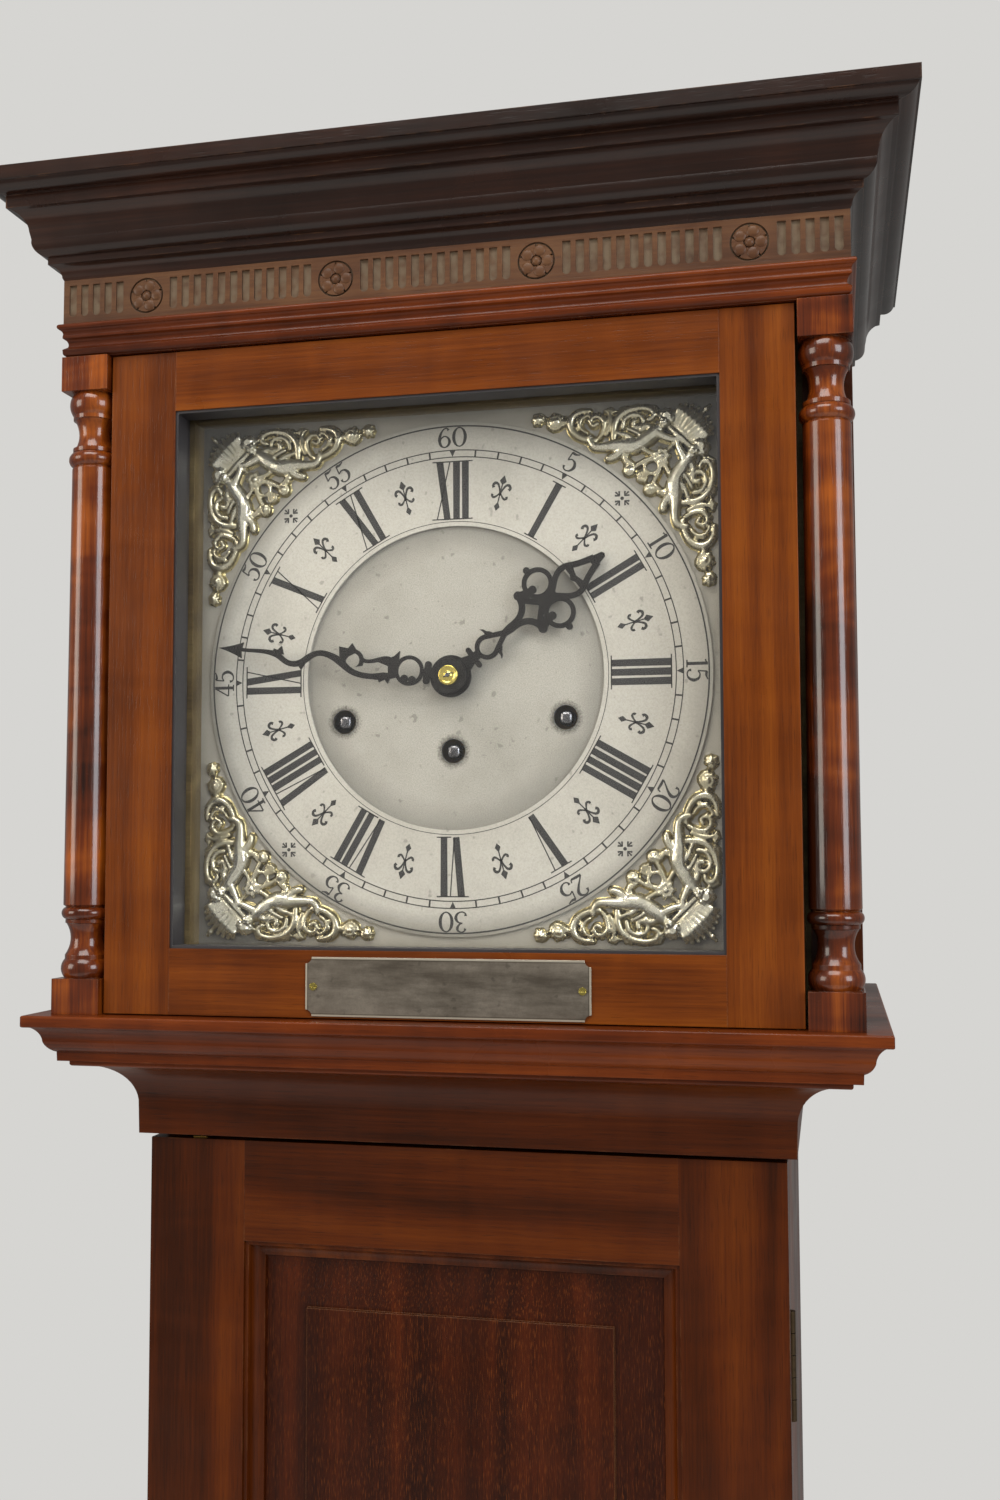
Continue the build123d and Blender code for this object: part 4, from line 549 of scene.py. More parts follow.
for name, node in nodes.items():
    look = finish[finishOf.get(name, "brass")]
    for slot in node.material_slots:
        slot.material = look
    if not node.material_slots:
        node.data.materials.append(look)
print("finishes on", len(nodes), "nodes")


# Shapes shared by the pieces below

def keep(name, mesh, body, material=None, smooth=True):
    # a finished mesh, placed, riding on its body
    if material:
        mesh.materials.clear()
        mesh.materials.append(material)
    if smooth:
        mesh.polygons.foreach_set("use_smooth", [True] * len(mesh.polygons))
    piece = addObject(name, mesh)
    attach(piece, body)
    return piece


def meshFrom(name, shape, mesh=None):
    bmesh.ops.recalc_face_normals(shape, faces=shape.faces)
    mesh = mesh or bpy.data.meshes.new(name)
    shape.to_mesh(mesh)
    shape.free()
    return mesh


def settled(holder):
    # the plain mesh that an object's modifiers make; the object goes
    view = bpy.context.evaluated_depsgraph_get()
    view.update()
    mesh = bpy.data.meshes.new_from_object(holder.evaluated_get(view), depsgraph=view)
    holder.modifiers.clear()
    bpy.data.objects.remove(holder)
    return mesh


def split(row):
    # points and widths out of one row of both
    return [p[:2] for p in row], [p[2] for p in row]


def around(count, radius=1.0):
    turns = [i * fullTurn / count for i in range(count)]
    return [(radius * math.cos(a), radius * math.sin(a)) for a in turns]


def skin(shape, rings):
    # faces between rings of one count, and a cap at each end
    for first, second in zip(rings, rings[1:]):
        for i in range(len(first)):
            j = (i + 1) % len(first)
            shape.faces.new((first[i], first[j], second[j], second[i]))
    shape.faces.new(rings[0])
    shape.faces.new(rings[-1])


def rounded(points, widths, steps=6):
    # a smooth run through brush points, with its widths
    run, wide = [], []
    last = len(points) - 1
    for i in range(last):
        a, b, c, d = [Vector(points[min(max(k, 0), last)]) for k in (i - 1, i, i + 1, i + 2)]
        for s in range(steps):
            t = s / steps
            run.append(0.5 * ((2 * b) + (c - a) * t + (2 * a - 5 * b + 4 * c - d) * t * t
                              + (3 * b - a - 3 * c + d) * t ** 3))
            wide.append(widths[i] + (widths[i + 1] - widths[i]) * t)
    return run + [Vector(points[-1])], wide + [widths[-1]]


def brush(shape, points, widths, place, near, far, closed=False):
    # a flat stroke of changing width; place turns its own two sizes into the dial's x and z
    count = len(points)
    rows = []
    for i in range(count):
        before = points[(i - 1) % count] if closed or i else points[i]
        after = points[(i + 1) % count] if closed or i < count - 1 else points[i]
        along = Vector(after) - Vector(before)
        side = Vector((-along[1], along[0])).normalized() * widths[i] / 2
        left, right = place(*(Vector(points[i]) + side)), place(*(Vector(points[i]) - side))
        rows.append([shape.verts.new((p[0], y, p[1])) for p in (left, right) for y in (near, far)])
    pairs = list(zip(rows, rows[1:]))
    if closed:
        pairs.append((rows[-1], rows[0]))
    for (leftNear, leftFar, rightNear, rightFar), (a, b, c, d) in pairs:
        for face in ((leftNear, rightNear, c, a), (leftFar, b, d, rightFar),
                     (leftNear, a, b, leftFar), (rightNear, rightFar, d, c)):
            shape.faces.new(face)
    if not closed:
        for a, b, c, d in (rows[0], rows[-1]):
            shape.faces.new((a, b, d, c))


# Dial drawing: circles, minute strokes, numerals and the marks between them, filled with wax.
# Sizes are millimetres from the dial's centre, and near and far the wax's two faces in metres

dialDrawing = {
    "near": -0.08036, "far": -0.08024,
    "circles": ((84.9, 0.36), (120.5, 0.55), (124.3, 0.55), (137.6, 0.80)), "circleSides": 180,
    "numeralFoot": 86.3, "numeralHead": 118.0, "thick": 3.9, "thin": 0.66, "narrowed": 0.93,
    "foot": 0.66, "footPast": 2.1, "between": 1.05,
    "numberFoot": 125.9, "numberHigh": 11.2, "hair": 0.066, "bold": 1.32, "markBold": 1.3,
    "fleurAt": 102.3, "crossAt": 131.2, "dot": 0.50, "dotWide": 0.95,
    "strokeAt": 122.4, "strokeLong": 3.9, "strokeWide": 0.95,
    "headAt": 124.2, "headWide": 3.3, "headLong": 3.5,
}
romans = ["XII", "I", "II", "III", "IIII", "V", "VI", "VII", "VIII", "IX", "X", "XI"]
# each letter's width and strokes: top, foot and whether it is a thick one
letters = {
    "I": (3.9, [(1.95, 1.95, "thick")]),
    "X": (8.4, [(2.0, 6.3, "thick"), (7.7, 0.6, "thin")]),
    "V": (8.6, [(2.0, 4.9, "thick"), (8.1, 5.9, "thin")]),
}
# each figure's width and brush strokes, in a box one high: across, up and width; the nought's closes
zero = [a * fullTurn / 24 for a in range(24)]
figures = {
    "1": (0.46, [
        [(0.24, 0.0, 0.11), (0.24, 0.985, 0.11)],
        [(0.24, 0.955, 0.05), (0.15, 0.9, 0.04), (0.05, 0.87, 0.025)],
        [(0.06, 0.014, 0.03), (0.42, 0.014, 0.03)]]),
    "2": (0.68, [
        [(0.1, 0.74, 0.11), (0.13, 0.9, 0.05), (0.3, 0.975, 0.035), (0.5, 0.9, 0.09), (0.55, 0.73, 0.12),
         (0.43, 0.5, 0.08), (0.22, 0.25, 0.05), (0.07, 0.06, 0.05)],
        [(0.06, 0.05, 0.08), (0.34, 0.06, 0.1), (0.58, 0.045, 0.07)],
        [(0.58, 0.04, 0.05), (0.63, 0.2, 0.02)]]),
    "3": (0.66, [
        [(0.1, 0.8, 0.1), (0.15, 0.93, 0.05), (0.3, 0.98, 0.035), (0.46, 0.9, 0.08), (0.48, 0.76, 0.1),
         (0.38, 0.61, 0.06), (0.24, 0.555, 0.03)],
        [(0.24, 0.555, 0.03), (0.44, 0.51, 0.06), (0.56, 0.32, 0.12), (0.48, 0.11, 0.08),
         (0.28, 0.018, 0.035), (0.11, 0.08, 0.05), (0.08, 0.21, 0.11)]]),
    "4": (0.68, [
        [(0.42, 0.97, 0.035), (0.03, 0.28, 0.035)], [(0.03, 0.27, 0.05), (0.62, 0.27, 0.05)],
        [(0.44, 0.985, 0.11), (0.44, 0.0, 0.11)], [(0.29, 0.014, 0.03), (0.59, 0.014, 0.03)]]),
    "5": (0.66, [
        [(0.16, 0.93, 0.1), (0.34, 0.905, 0.085), (0.54, 0.975, 0.02)],
        [(0.16, 0.95, 0.035), (0.12, 0.52, 0.03)],
        [(0.12, 0.52, 0.03), (0.29, 0.615, 0.04), (0.48, 0.54, 0.09), (0.56, 0.32, 0.12), (0.46, 0.1, 0.08),
         (0.27, 0.018, 0.035), (0.11, 0.08, 0.05), (0.08, 0.21, 0.11)]]),
    "6": (0.7, [
        [(0.53, 0.86, 0.1), (0.45, 0.955, 0.045), (0.31, 0.93, 0.04), (0.15, 0.72, 0.08), (0.08, 0.4, 0.12),
         (0.15, 0.12, 0.09), (0.33, 0.018, 0.035), (0.51, 0.11, 0.08), (0.58, 0.3, 0.11), (0.5, 0.49, 0.07),
         (0.33, 0.565, 0.035), (0.18, 0.48, 0.035), (0.11, 0.36, 0.05)]]),
}
figures["0"] = (0.76, [[(0.38 + 0.29 * math.sin(a), 0.5 + 0.465 * math.cos(a),
                         0.035 + 0.085 * abs(math.sin(a)) ** 1.6) for a in zero]])
# a fleur mark, in millimetres out from its middle: its strokes, and the scrolls of one side
fleur = [[(0, -9.4, 0.15), (0, -7.2, 2.5), (0, -5, 0.5)], [(0, 5.2, 0.5), (0, 7, 3), (0, 10.2, 0.15)],
         [(0, -5, 0.55), (0, 5.2, 0.55)]]
fleurScrolls = [[(0.1, -1, 0.5), (0.7, 2, 0.7), (2.2, 4.9, 0.95), (3.9, 5.3, 1.25), (4.9, 3.9, 1.05),
                 (4.2, 2.7, 1.3)],
                [(0.1, 0.6, 0.5), (1.3, -1.2, 0.7), (2.9, -2.5, 1), (4.2, -1.9, 0.8), (3.9, -0.9, 1.2)]]
crossArm = [[(0, 1.7, 0.5), (0, 5, 1)], [(-1.6, 3.9, 1.1), (0, 1.8, 0.45)], [(1.6, 3.9, 1.1), (0, 1.8, 0.45)]]


def turned(degrees, out=0.0):
    # places a mark's own sizes, in millimetres, at an angle round the dial, its top outwards
    c, s = math.cos(math.radians(degrees)), math.sin(math.radians(degrees))

    def place(across, up):
        up = up + out
        return (up * s + across * c) * mm, dialCentre + (up * c - across * s) * mm
    return place


def drawNumeral(stroke, letterRow, place):
    look = dialDrawing
    foot, head, past = look["numeralFoot"], look["numeralHead"], look["footPast"]
    wide = sum(letters[c][0] for c in letterRow) + look["between"] * (len(letterRow) - 1)
    at, feet = -wide / 2, []
    for letter in letterRow:
        across, strokes = letters[letter]
        if letter != "V":
            feet += [at, at + across]
        for top, low, weight in strokes:
            thick = look[weight]
            stroke([(at + low, foot), (at + top, head)], [thick * look["narrowed"], thick], place)
        at += across + look["between"]
    stroke([(-wide / 2 - past, head), (wide / 2 + past, head)], [look["foot"]] * 2, place)
    if feet:
        stroke([(min(feet) - past, foot), (max(feet) + past, foot)], [look["foot"]] * 2, place)


def drawNumber(stroke, text, place):
    look = dialDrawing
    high = look["numberHigh"]
    at = -sum(figures[c][0] for c in text) / 2
    for c in text:
        advance, strokes = figures[c]
        for row in strokes:
            points, widths = split(row)
            if c != "0" and len(row) > 2:
                points, widths = rounded(points, widths)
            widths = [max(w * look["bold"], look["hair"]) * high for w in widths]
            stroke([((x + at) * high, y * high) for x, y in points], widths, place, c == "0")
        at += advance


def drawDial():
    look = dialDrawing
    shape = bmesh.new()

    def stroke(points, widths, place, closed=False):
        brush(shape, points, widths, place, look["near"], look["far"], closed)
    sides = look["circleSides"]
    for radius, wide in look["circles"]:
        stroke(around(sides, radius), [wide] * sides, turned(0), True)
    for hour, letterRow in enumerate(romans):
        drawNumeral(stroke, letterRow, turned(hour * 30))
    for number in range(5, 65, 5):
        drawNumber(stroke, str(number), turned(number * 6, look["numberFoot"]))
    for hour in range(12):
        place = turned(hour * 30 + 15, look["fleurAt"])
        for row in fleur:
            points, widths = split(row)
            stroke(points, [w * look["markBold"] for w in widths], place)
        for row in fleurScrolls:
            for side in (-1, 1):
                run, widths = rounded([(side * x, y) for x, y, wide in row], split(row)[1], 5)
                stroke(run, [w * look["markBold"] for w in widths], place)
    for angle in (45, 135, 225, 315):
        place = turned(angle, look["crossAt"])
        stroke(around(12, look["dot"]), [look["dotWide"]] * 12, place, True)
        for c, s in around(4):
            for row in crossArm:
                stroke([(x * c - y * s, x * s + y * c) for x, y, wide in row], split(row)[1], place)
    mesh = meshFrom("dial_drawing", shape)
    keep("dial_drawing", mesh, "case", finish["wax"], smooth=False)


drawDial()
print("dial drawn")


# Geometry nodes: a tree starts with what it is given and ends with its finish

def startTree(name, sockets):
    tree = bpy.data.node_groups.new(name, "GeometryNodeTree")
    tree.is_modifier = True
    face = tree.interface
    face.new_socket("Geometry", in_out="INPUT", socket_type="NodeSocketGeometry")
    for kind, names in sockets.items():
        for socket in names:
            face.new_socket(socket, in_out="INPUT", socket_type="NodeSocket" + kind)
    face.new_socket("Finish", in_out="INPUT", socket_type="NodeSocketMaterial")
    face.new_socket("Geometry", in_out="OUTPUT", socket_type="NodeSocketGeometry")

    def step(kind, inputs=None):
        return put(tree, "GeometryNode" + kind, inputs).outputs[0]

    def joined(parts):
        return put(tree, "ShaderNodeCombineXYZ", parts).outputs[0]
    return tree, tree.nodes.new("NodeGroupInput").outputs, step, joined


def endTree(tree, shape, given):
    done = put(tree, "GeometryNodeSetMaterial", {"Geometry": shape, "Material": given["Finish"]})
    put(tree, "NodeGroupOutput", {0: done.outputs[0]})
    return tree


def grown(name, tree, values, base=None):
    # runs a tree on a mesh, or on an empty one, and gives the plain mesh that it makes
    holder = addObject(name + " maker", base or bpy.data.meshes.new(name))
    modifier = holder.modifiers.new("maker", "NODES")
    modifier.node_group = tree
    for item in tree.interface.items_tree:
        if item.in_out == "INPUT" and item.name in values:
            modifier[item.identifier] = values[item.name]
    mesh = settled(holder)
    mesh.name = name
    return mesh


# Marks that repeat round the dial's ring

def ringTree():
    tree, given, step, joined = startTree("marks round a ring", {
        "Int": ("Count", "Nth", "Sides"), "Bool": ("Leave out nth",),
        "Float": ("Radius", "Turn", "Long", "Wide", "Thick"), "Vector": ("Middle",)})
    index = Signal(tree, step("InputIndex"))
    mark = step("MeshCylinder", {"Vertices": given["Sides"], "Radius": 1.0, "Depth": 1.0})
    mark = step("Transform", {"Geometry": mark, "Rotation": joined({2: given["Turn"]})})
    size = joined({0: given["Long"], 1: given["Wide"], 2: given["Thick"]})
    mark = step("Transform", {"Geometry": mark, "Scale": size})
    circle = step("MeshCircle", {"Vertices": given["Count"], "Radius": given["Radius"]})
    chosen = abs((index % given["Nth"] < 0.5) - given["Leave out nth"])
    spin = joined({2: index * fullTurn / given["Count"]})
    laid = step("InstanceOnPoints", {"Points": circle, "Instance": mark, "Selection": chosen,
                                     "Rotation": spin})
    real = step("RealizeInstances", {0: laid})
    stood = step("Transform", {"Geometry": real, "Rotation": (math.pi / 2, 0, 0),
                               "Translation": given["Middle"]})
    return endTree(tree, stood, given)


def setMinuteMarks():
    look = dialDrawing
    tree = ringTree()
    near, far = look["near"], look["far"]
    fixed = {"Count": 60, "Nth": 5, "Thick": far - near, "Middle": (0, (near + far) / 2, dialCentre),
             "Finish": finish["wax"]}
    # cylinders of four and three sides stand for bars and arrowheads: their radius to their width
    bar, head = 1.414, 1.732
    for name, values in (
            ("minute_strokes", {
                "Leave out nth": True, "Sides": 4, "Turn": math.pi / 4, "Radius": look["strokeAt"] * mm,
                "Long": look["strokeLong"] * mm / bar, "Wide": look["strokeWide"] * mm / bar}),
            ("five_minute_heads", {
                "Leave out nth": False, "Sides": 3, "Turn": math.pi,
                "Radius": (look["headAt"] - look["headLong"] / 3) * mm,
                "Long": look["headLong"] * mm / 1.5, "Wide": look["headWide"] * mm / head})):
        keep(name, grown(name, tree, {**fixed, **values}), "case", smooth=False)


setMinuteMarks()
print("minute marks set round the ring")


# Corner castings: leafwork, a crown, a flower and two small figures, fused as one casting

casting = {
    "voxel": 0.00047, "foot": 0.3, "soften": (0.5, 2), "pitch": 0.42, "web": (2.4, 1.1, 4),
    # half of one corner, right of and above the dial's centre: across, up, radius, height of the top
    "leaves": [
        [(75.5, 141, 1.2, 2.8), (70.5, 140.5, 1.7, 3.4), (66.5, 138.2, 2, 3.8), (65.2, 134.4, 2.1, 4),
         (66.5, 130.4, 2, 3.8), (70, 127.2, 1.8, 3.6), (75, 125.2, 1.7, 3.4), (79, 124.8, 1.5, 3.2)],
        [(75, 138.8, 0.9, 3), (71.6, 136.8, 1, 3.2), (70.4, 133.8, 1.1, 3.4), (71.6, 131, 1, 3.2),
         (74, 129.2, 0.9, 3)],
        [(60.6, 136, 1.6, 3), (64, 135.4, 1.6, 3)],
        [(88.6, 125.6, 1.8, 3.6), (88.9, 131, 1.9, 4), (91, 136, 1.8, 4), (95.4, 139.4, 1.7, 3.8),
         (101.4, 140.8, 1.7, 3.6), (106.4, 140.4, 1.6, 3.6), (109.6, 138.4, 1.5, 3.8),
         (109.8, 135.6, 1.4, 3.8), (107.4, 134.2, 1.3, 3.6)],
        [(93.4, 130.6, 1.3, 3.4), (94.6, 135, 1.4, 3.8), (99.2, 137.4, 1.4, 3.8), (103.4, 136, 1.3, 3.6),
         (104.4, 132.6, 1.2, 3.4), (102, 130.2, 1.2, 3.4), (99.2, 131.4, 1.1, 3.6), (99.8, 133.6, 1.2, 4)],
        [(81, 126, 1.2, 3), (83, 130, 1.3, 3.4), (83.4, 134.6, 1.3, 3.6), (80.8, 137.4, 1.2, 3.4),
         (77.6, 137.2, 1.1, 3.2), (76.2, 134.8, 1.1, 3.2), (77.6, 132.6, 1.1, 3.2), (79.8, 133.6, 1.2, 3.6)],
        [(84.6, 127.6, 1.2, 3), (86.4, 132.6, 1.3, 3.4), (86.8, 137, 1.2, 3.2), (85.6, 140.2, 1, 2.8)],
    ],
    # body, arms, legs and the cloth over them
    "figure": [
        [(113.8, 129.6, 2.8, 4.4), (111, 127.4, 4, 5.4), (107.4, 124.8, 4.4, 5.8), (103.2, 122, 4.1, 5.6),
         (99, 120.5, 4.8, 6.2), (95.4, 120.6, 4.6, 6), (92.6, 121.2, 4, 5.4)],
        [(111.8, 126.4, 2.5, 5.4), (115.4, 124.4, 2.1, 5.2), (119.2, 122.9, 1.8, 4.6),
         (122.6, 122.6, 1.6, 4.2)],
        [(109, 129.4, 1.8, 4.4), (106, 130.8, 1.5, 4), (103.4, 129.2, 1.3, 3.6)],
        [(93, 121.2, 3.6, 5.6), (87.6, 121, 3.1, 5.2), (82.4, 120.8, 2.5, 4.8), (78.4, 121.4, 2.2, 4.4),
         (76.2, 124, 1.7, 4), (75.8, 127.2, 1.4, 3.6)],
        [(92.6, 118.6, 2.9, 4.8), (90.4, 116.2, 2.4, 4.4), (87.8, 114.9, 2.1, 4.2), (85.6, 114.6, 1.8, 3.8)],
        [(99.6, 123.4, 1.2, 4.8), (96.2, 126, 1.3, 4.4), (92.6, 127.2, 1.3, 4), (89.4, 128.6, 1.2, 3.6)],
        [(103.4, 125.8, 1.1, 4.4), (100, 128, 1.2, 4), (96.4, 129.8, 1.2, 3.6)],
    ],
    # what joins figure, volute and flower
    "links": [
        [(93.4, 118, 1.2, 3.4), (95, 113.8, 1.3, 3.2), (98, 111, 1.3, 3.2)],
        [(103.6, 118.8, 1.3, 3.6), (107.6, 116.4, 1.3, 3.4), (111, 115, 1.2, 3.4)],
        [(100.4, 109.6, 1.3, 3.2), (104, 111.6, 1.3, 3.4), (108, 113.2, 1.2, 3.4), (111.6, 113.6, 1.2, 3.4)],
        [(119.8, 131.6, 1.3, 3.2), (123, 129.2, 1.3, 3.4)], [(111, 137, 1.3, 3.2), (113.6, 136, 1.3, 3.4)],
    ],
    # spirals: middle, outer radius, turns, start angle, thickness
    "curls": [
        (57.3, 136.2, 4, 1.6, 200, 1.4), (97.2, 107.6, 3, 1.5, 60, 1.35), (47.8, 138, 2.4, 1.2, 0, 1.4),
    ],
    # how far a spiral closes and thins, height at its start and rise, steps to a turn
    "curling": (0.78, 0.3, (2.8, 1), 14),
    # share of the thickness, height
    "eye": (0.95, 4.2),
    # leaf ends: middle, angle, spread, count, reach, thickness
    "tufts": [
        (57.3, 136.2, 180, 300, 9, 5, 0.85), (47.6, 138, 180, 320, 7, 3.5, 0.85),
        (70, 138.6, 110, 80, 5, 3.4, 0.8), (79, 134.6, 90, 150, 6, 5.6, 0.8),
        (86.5, 138, 80, 100, 5, 4, 0.8), (94.5, 138.6, 120, 90, 5, 3.6, 0.8),
        (102, 139.2, 90, 90, 5, 3.2, 0.8), (109, 138.6, 60, 120, 5, 3.6, 0.8),
        (101, 133.4, 200, 200, 6, 3.4, 0.75), (90, 132.6, 150, 110, 4, 3.8, 0.8),
        (67.6, 133.8, 0, 100, 4, 3.8, 0.75), (83.6, 134, 20, 120, 4, 3.6, 0.75),
        (96.8, 113.6, 160, 110, 4, 3.8, 0.8), (103.6, 104.2, 225, 120, 4, 3.4, 0.8),
    ],
    # shares of reach and thickness, and height, along a leaf; every second one is shorter
    "tuft": ((0.45, 0.7, 2.8), (0.8, 1, 3), (1, 0.7, 2.2)),
    "shorter": 0.12, "heads": [(117.4, 134.6, 4.2, 6.4)],
    # from a head's middle: jaw, cheeks, nose, brows, chin
    "face": [
        (-1.7, -2.8, 3.2, 0.2), (-3, -3.3, 1.1, 0.45), (-0.4, -4, 1.1, 0.45), (-1.9, -3.5, 0.7, 1),
        (-2.7, -1.7, 0.8, 0.55), (-0.6, -2.3, 0.8, 0.55), (-2, -5.4, 1, -0.2),
    ],
    # count, first angle, angle apart, and share of the head's radius, size and depth by turns
    "hair": [(15, -42, 16, ((0.8, 1.15, 0.9), (1.02, 1.15, 2))), (6, -20, 32, ((0.42, 0.95, -0.12),))],
    # along the corner's diagonal; a ray's rows are out, along and off the diagonal, radius, height
    "crown": {
        "at": 175, "half": 7.6, "bands": ((0, 1.7, 4.6), (3, 1.2, 4.2)), "lower": 0.8, "leaves": 9,
        "first": -60, "apart": 15,
        "ray": (
            (3, 0, 7.6, 1.2, 3.8), (9, 1.6, 11.8, 1.6, 5.8), (6.4, 9.6, 12.4, 1.3, 4),
            (7.2, 10.6, 13.4, 1.25, 3.8),
        ),
    },
    # along the diagonal, radius, height
    "knobs": ((184, 8, 4.4), (195, 1.8, 4.2), (197.4, 1.3, 3.2), (161.4, 1.6, 4.6)),
    "flower": 161.4, "petals": 7,
    # out, radius, height
    "petal": ((3, 1.65, 4), (4.4, 1.3, 3.3)),
    # along the diagonal, radius, balls, their radius and height
    "wreath": (153.8, 3.8, 18, 1.15, 3.2),
    # along and off the diagonal, radius, height
    "stems": [
        [(165, 0, 1.1, 3), (174.6, 0, 1.1, 3.2)], [(149.6, 0, 1.1, 3.2), (147.2, -2.4, 1, 2.6)],
        [(149.6, 0, 1.1, 3.2), (146.2, 0, 1, 2.6)], [(149.6, 0, 1.1, 3.2), (147.2, 2.4, 1, 2.6)],
    ],
}


def castingDrops():
    # every little ball that the casting is fused from: across, up, radius, height of its top
    look = casting
    drops = []

    def strand(points):
        for (x, z, r, top), (a, b, s, high) in zip(points, points[1:]):
            count = max(2, int(math.hypot(a - x, b - z) / (look["pitch"] * min(r, s))))
            for i in range(count + 1):
                t = i / count
                drops.append((x + (a - x) * t, z + (b - z) * t, r + (s - r) * t, top + (high - top) * t))

    def curve(points):
        run, rest = rounded(*split(points), 5)
        tops = rounded(split(points)[0], [p[3] for p in points], 5)[1]
        strand([(p[0], p[1], r, t) for p, r, t in zip(run, rest, tops)])
    for points in look["leaves"] + look["figure"] + look["links"]:
        curve(points)
    for x, z, radius, turns, start, r in look["curls"]:
        shut, thinned, (low, rise), steps = look["curling"]
        steps = int(turns * steps)
        points = []
        for i in range(steps + 1):
            t = i / steps
            a = math.radians(start) + t * turns * fullTurn
            far = radius * (1 - shut * t)
            points.append((x + far * math.cos(a), z + far * math.sin(a), r * (1 - thinned * t),
                           low + rise * t))
        strand(points)
        share, top = look["eye"]
        drops.append((x, z, r * share, top))
    for x, z, angle, spread, count, reach, r in look["tufts"]:
        for i in range(count):
            a = math.radians(angle + spread * (i / (count - 1) - 0.5))
            end = reach * (1.0 - look["shorter"] * (i % 2))
            strand([(x + far * long * math.cos(a), z + far * long * math.sin(a), r * share, top)
                    for long, (far, share, top) in zip((reach, end, end), look["tuft"])])
    for x, z, r, top in look["heads"]:
        drops.append((x, z, r, top))
        for across, up, size, above in look["face"]:
            drops.append((x + across, z + up, size, top + above))
        for count, first, apart, rows in look["hair"]:
            for i in range(count):
                a = math.radians(first + i * apart)
                far, size, down = rows[i % len(rows)]
                drops.append((x + r * far * math.cos(a), z + r * far * math.sin(a), size, top - down))
    share, low, apart = look["web"]
    web = [(x, z, share * r, low) for x, z, r, top in drops[::apart]]  # joins neighbouring leaves
    drops.extend(web)
    both = drops + [(z, x, r, top) for x, z, r, top in drops]
    # on the corner's own diagonal: crown, flower, wreath, leaf
    drops.clear()
    c = s = math.sqrt(0.5)

    def at(along, off=0.0):
        return along * c - off * s, along * s + off * c
    crown = look["crown"]
    half = crown["half"]
    for out, r, top in crown["bands"]:
        strand([(*at(crown["at"] + out, off), r, top - (crown["lower"] if off else 0))
                for off in (-half, 0, half)])
    for i in range(crown["leaves"]):
        a = math.radians(crown["first"] + crown["apart"] * i)
        ray = []
        for out, along, off, r, top in crown["ray"]:
            ray.append((*at(crown["at"] + out + along * math.cos(a), off * math.sin(a)), r, top))
        curve(ray[:-1])
        drops.append(ray[-1])
    for along, r, top in look["knobs"]:
        drops.append((*at(along), r, top))
    x, z = at(look["flower"])
    for a, b in around(look["petals"]):
        for far, r, top in look["petal"]:
            drops.append((x + far * a, z + far * b, r, top))
    along, far, count, r, top = look["wreath"]
    x, z = at(along)
    strand([(x + a, z + b, r, top) for a, b in around(count, far) + [(far, 0.0)]])
    for ends in look["stems"]:
        strand([(*at(along, off), r, top) for along, off, r, top in ends])
    return both + drops


def makeCastings():
    ball = bmesh.new()
    bmesh.ops.create_icosphere(ball, subdivisions=2, radius=1.0)
    ballVerts = [v.co.copy() for v in ball.verts]
    ballFaces = [[v.index for v in f.verts] for f in ball.faces]
    ball.free()
    verts, faces = [], []
    for across, up, radius, top in castingDrops():
        faces.extend([[len(verts) + i for i in f] for f in ballFaces])
        for v in ballVerts:
            out = max(top - radius + v.y * radius, -casting["foot"])
            verts.append(((across + v.x * radius) * mm, dialFace - out * mm, (up + v.z * radius) * mm))
    rough = bpy.data.meshes.new("casting rough")
    rough.from_pydata(verts, [], faces)
    holder = addObject("casting rough", rough)
    fuse = holder.modifiers.new("fuse", "REMESH")
    fuse.mode, fuse.voxel_size, fuse.adaptivity = "VOXEL", casting["voxel"], 0.0
    soften = holder.modifiers.new("soften", "SMOOTH")
    soften.factor, soften.iterations = casting["soften"]
    fused = settled(holder)
    for right, up in ((1, 1), (-1, 1), (-1, -1), (1, -1)):
        mesh = fused.copy()
        mesh.transform(Matrix.Translation((0, 0, dialCentre)) @ Matrix.Diagonal((right, 1, up, 1)))
        shape = bmesh.new()
        shape.from_mesh(mesh)
        meshFrom("", shape, mesh)
        name = "corner_casting_" + ("upper" if up > 0 else "lower") + ("_right" if right > 0 else "_left")
        piece = keep(name, mesh, "case", finish["spandrel"])
        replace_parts(piece, "corner_spandrels")
    print("corner castings", len(fused.polygons), "faces each")


makeCastings()


# Winding squares with worn corners, each on its barrel: depth behind the dial's face, share of the half width

winding = {
    "places": {"barrel_strike": (-61.5, -23.0), "barrel_going": (0.0, -40.0), "barrel_chime": (61.5, -23.0)},
    "half": 3.9, "square": 3.4, "sides": 48,
    "rows": ((-64.0, 1.0), (-74.4, 1.0), (-76.4, 0.97), (-77.6, 0.86), (-78.3, 0.66), (-78.6, 0.36),
             (-78.7, 0.12)),
}


def makeWinding():
    power = winding["square"]
    for body, (x, z) in winding["places"].items():
        shape = bmesh.new()
        rings = []
        for y, share in winding["rows"]:
            ring = []
            for c, s in around(winding["sides"]):
                far = winding["half"] * share / (abs(c) ** power + abs(s) ** power) ** (1 / power)
                ring.append(shape.verts.new(((x + far * c) * mm, y * mm, dialCentre + (z + far * s) * mm)))
            rings.append(ring)
        skin(shape, rings)
        name = "winding_square_" + body.split("_")[1]
        keep(name, meshFrom(name, shape), body, finish["arbor"])


makeWinding()
print("winding squares set in their holes")


# Hand nut: a dished brass ring round the arbor's steel tip, crossed by a pin. Radius and y, in millimetres

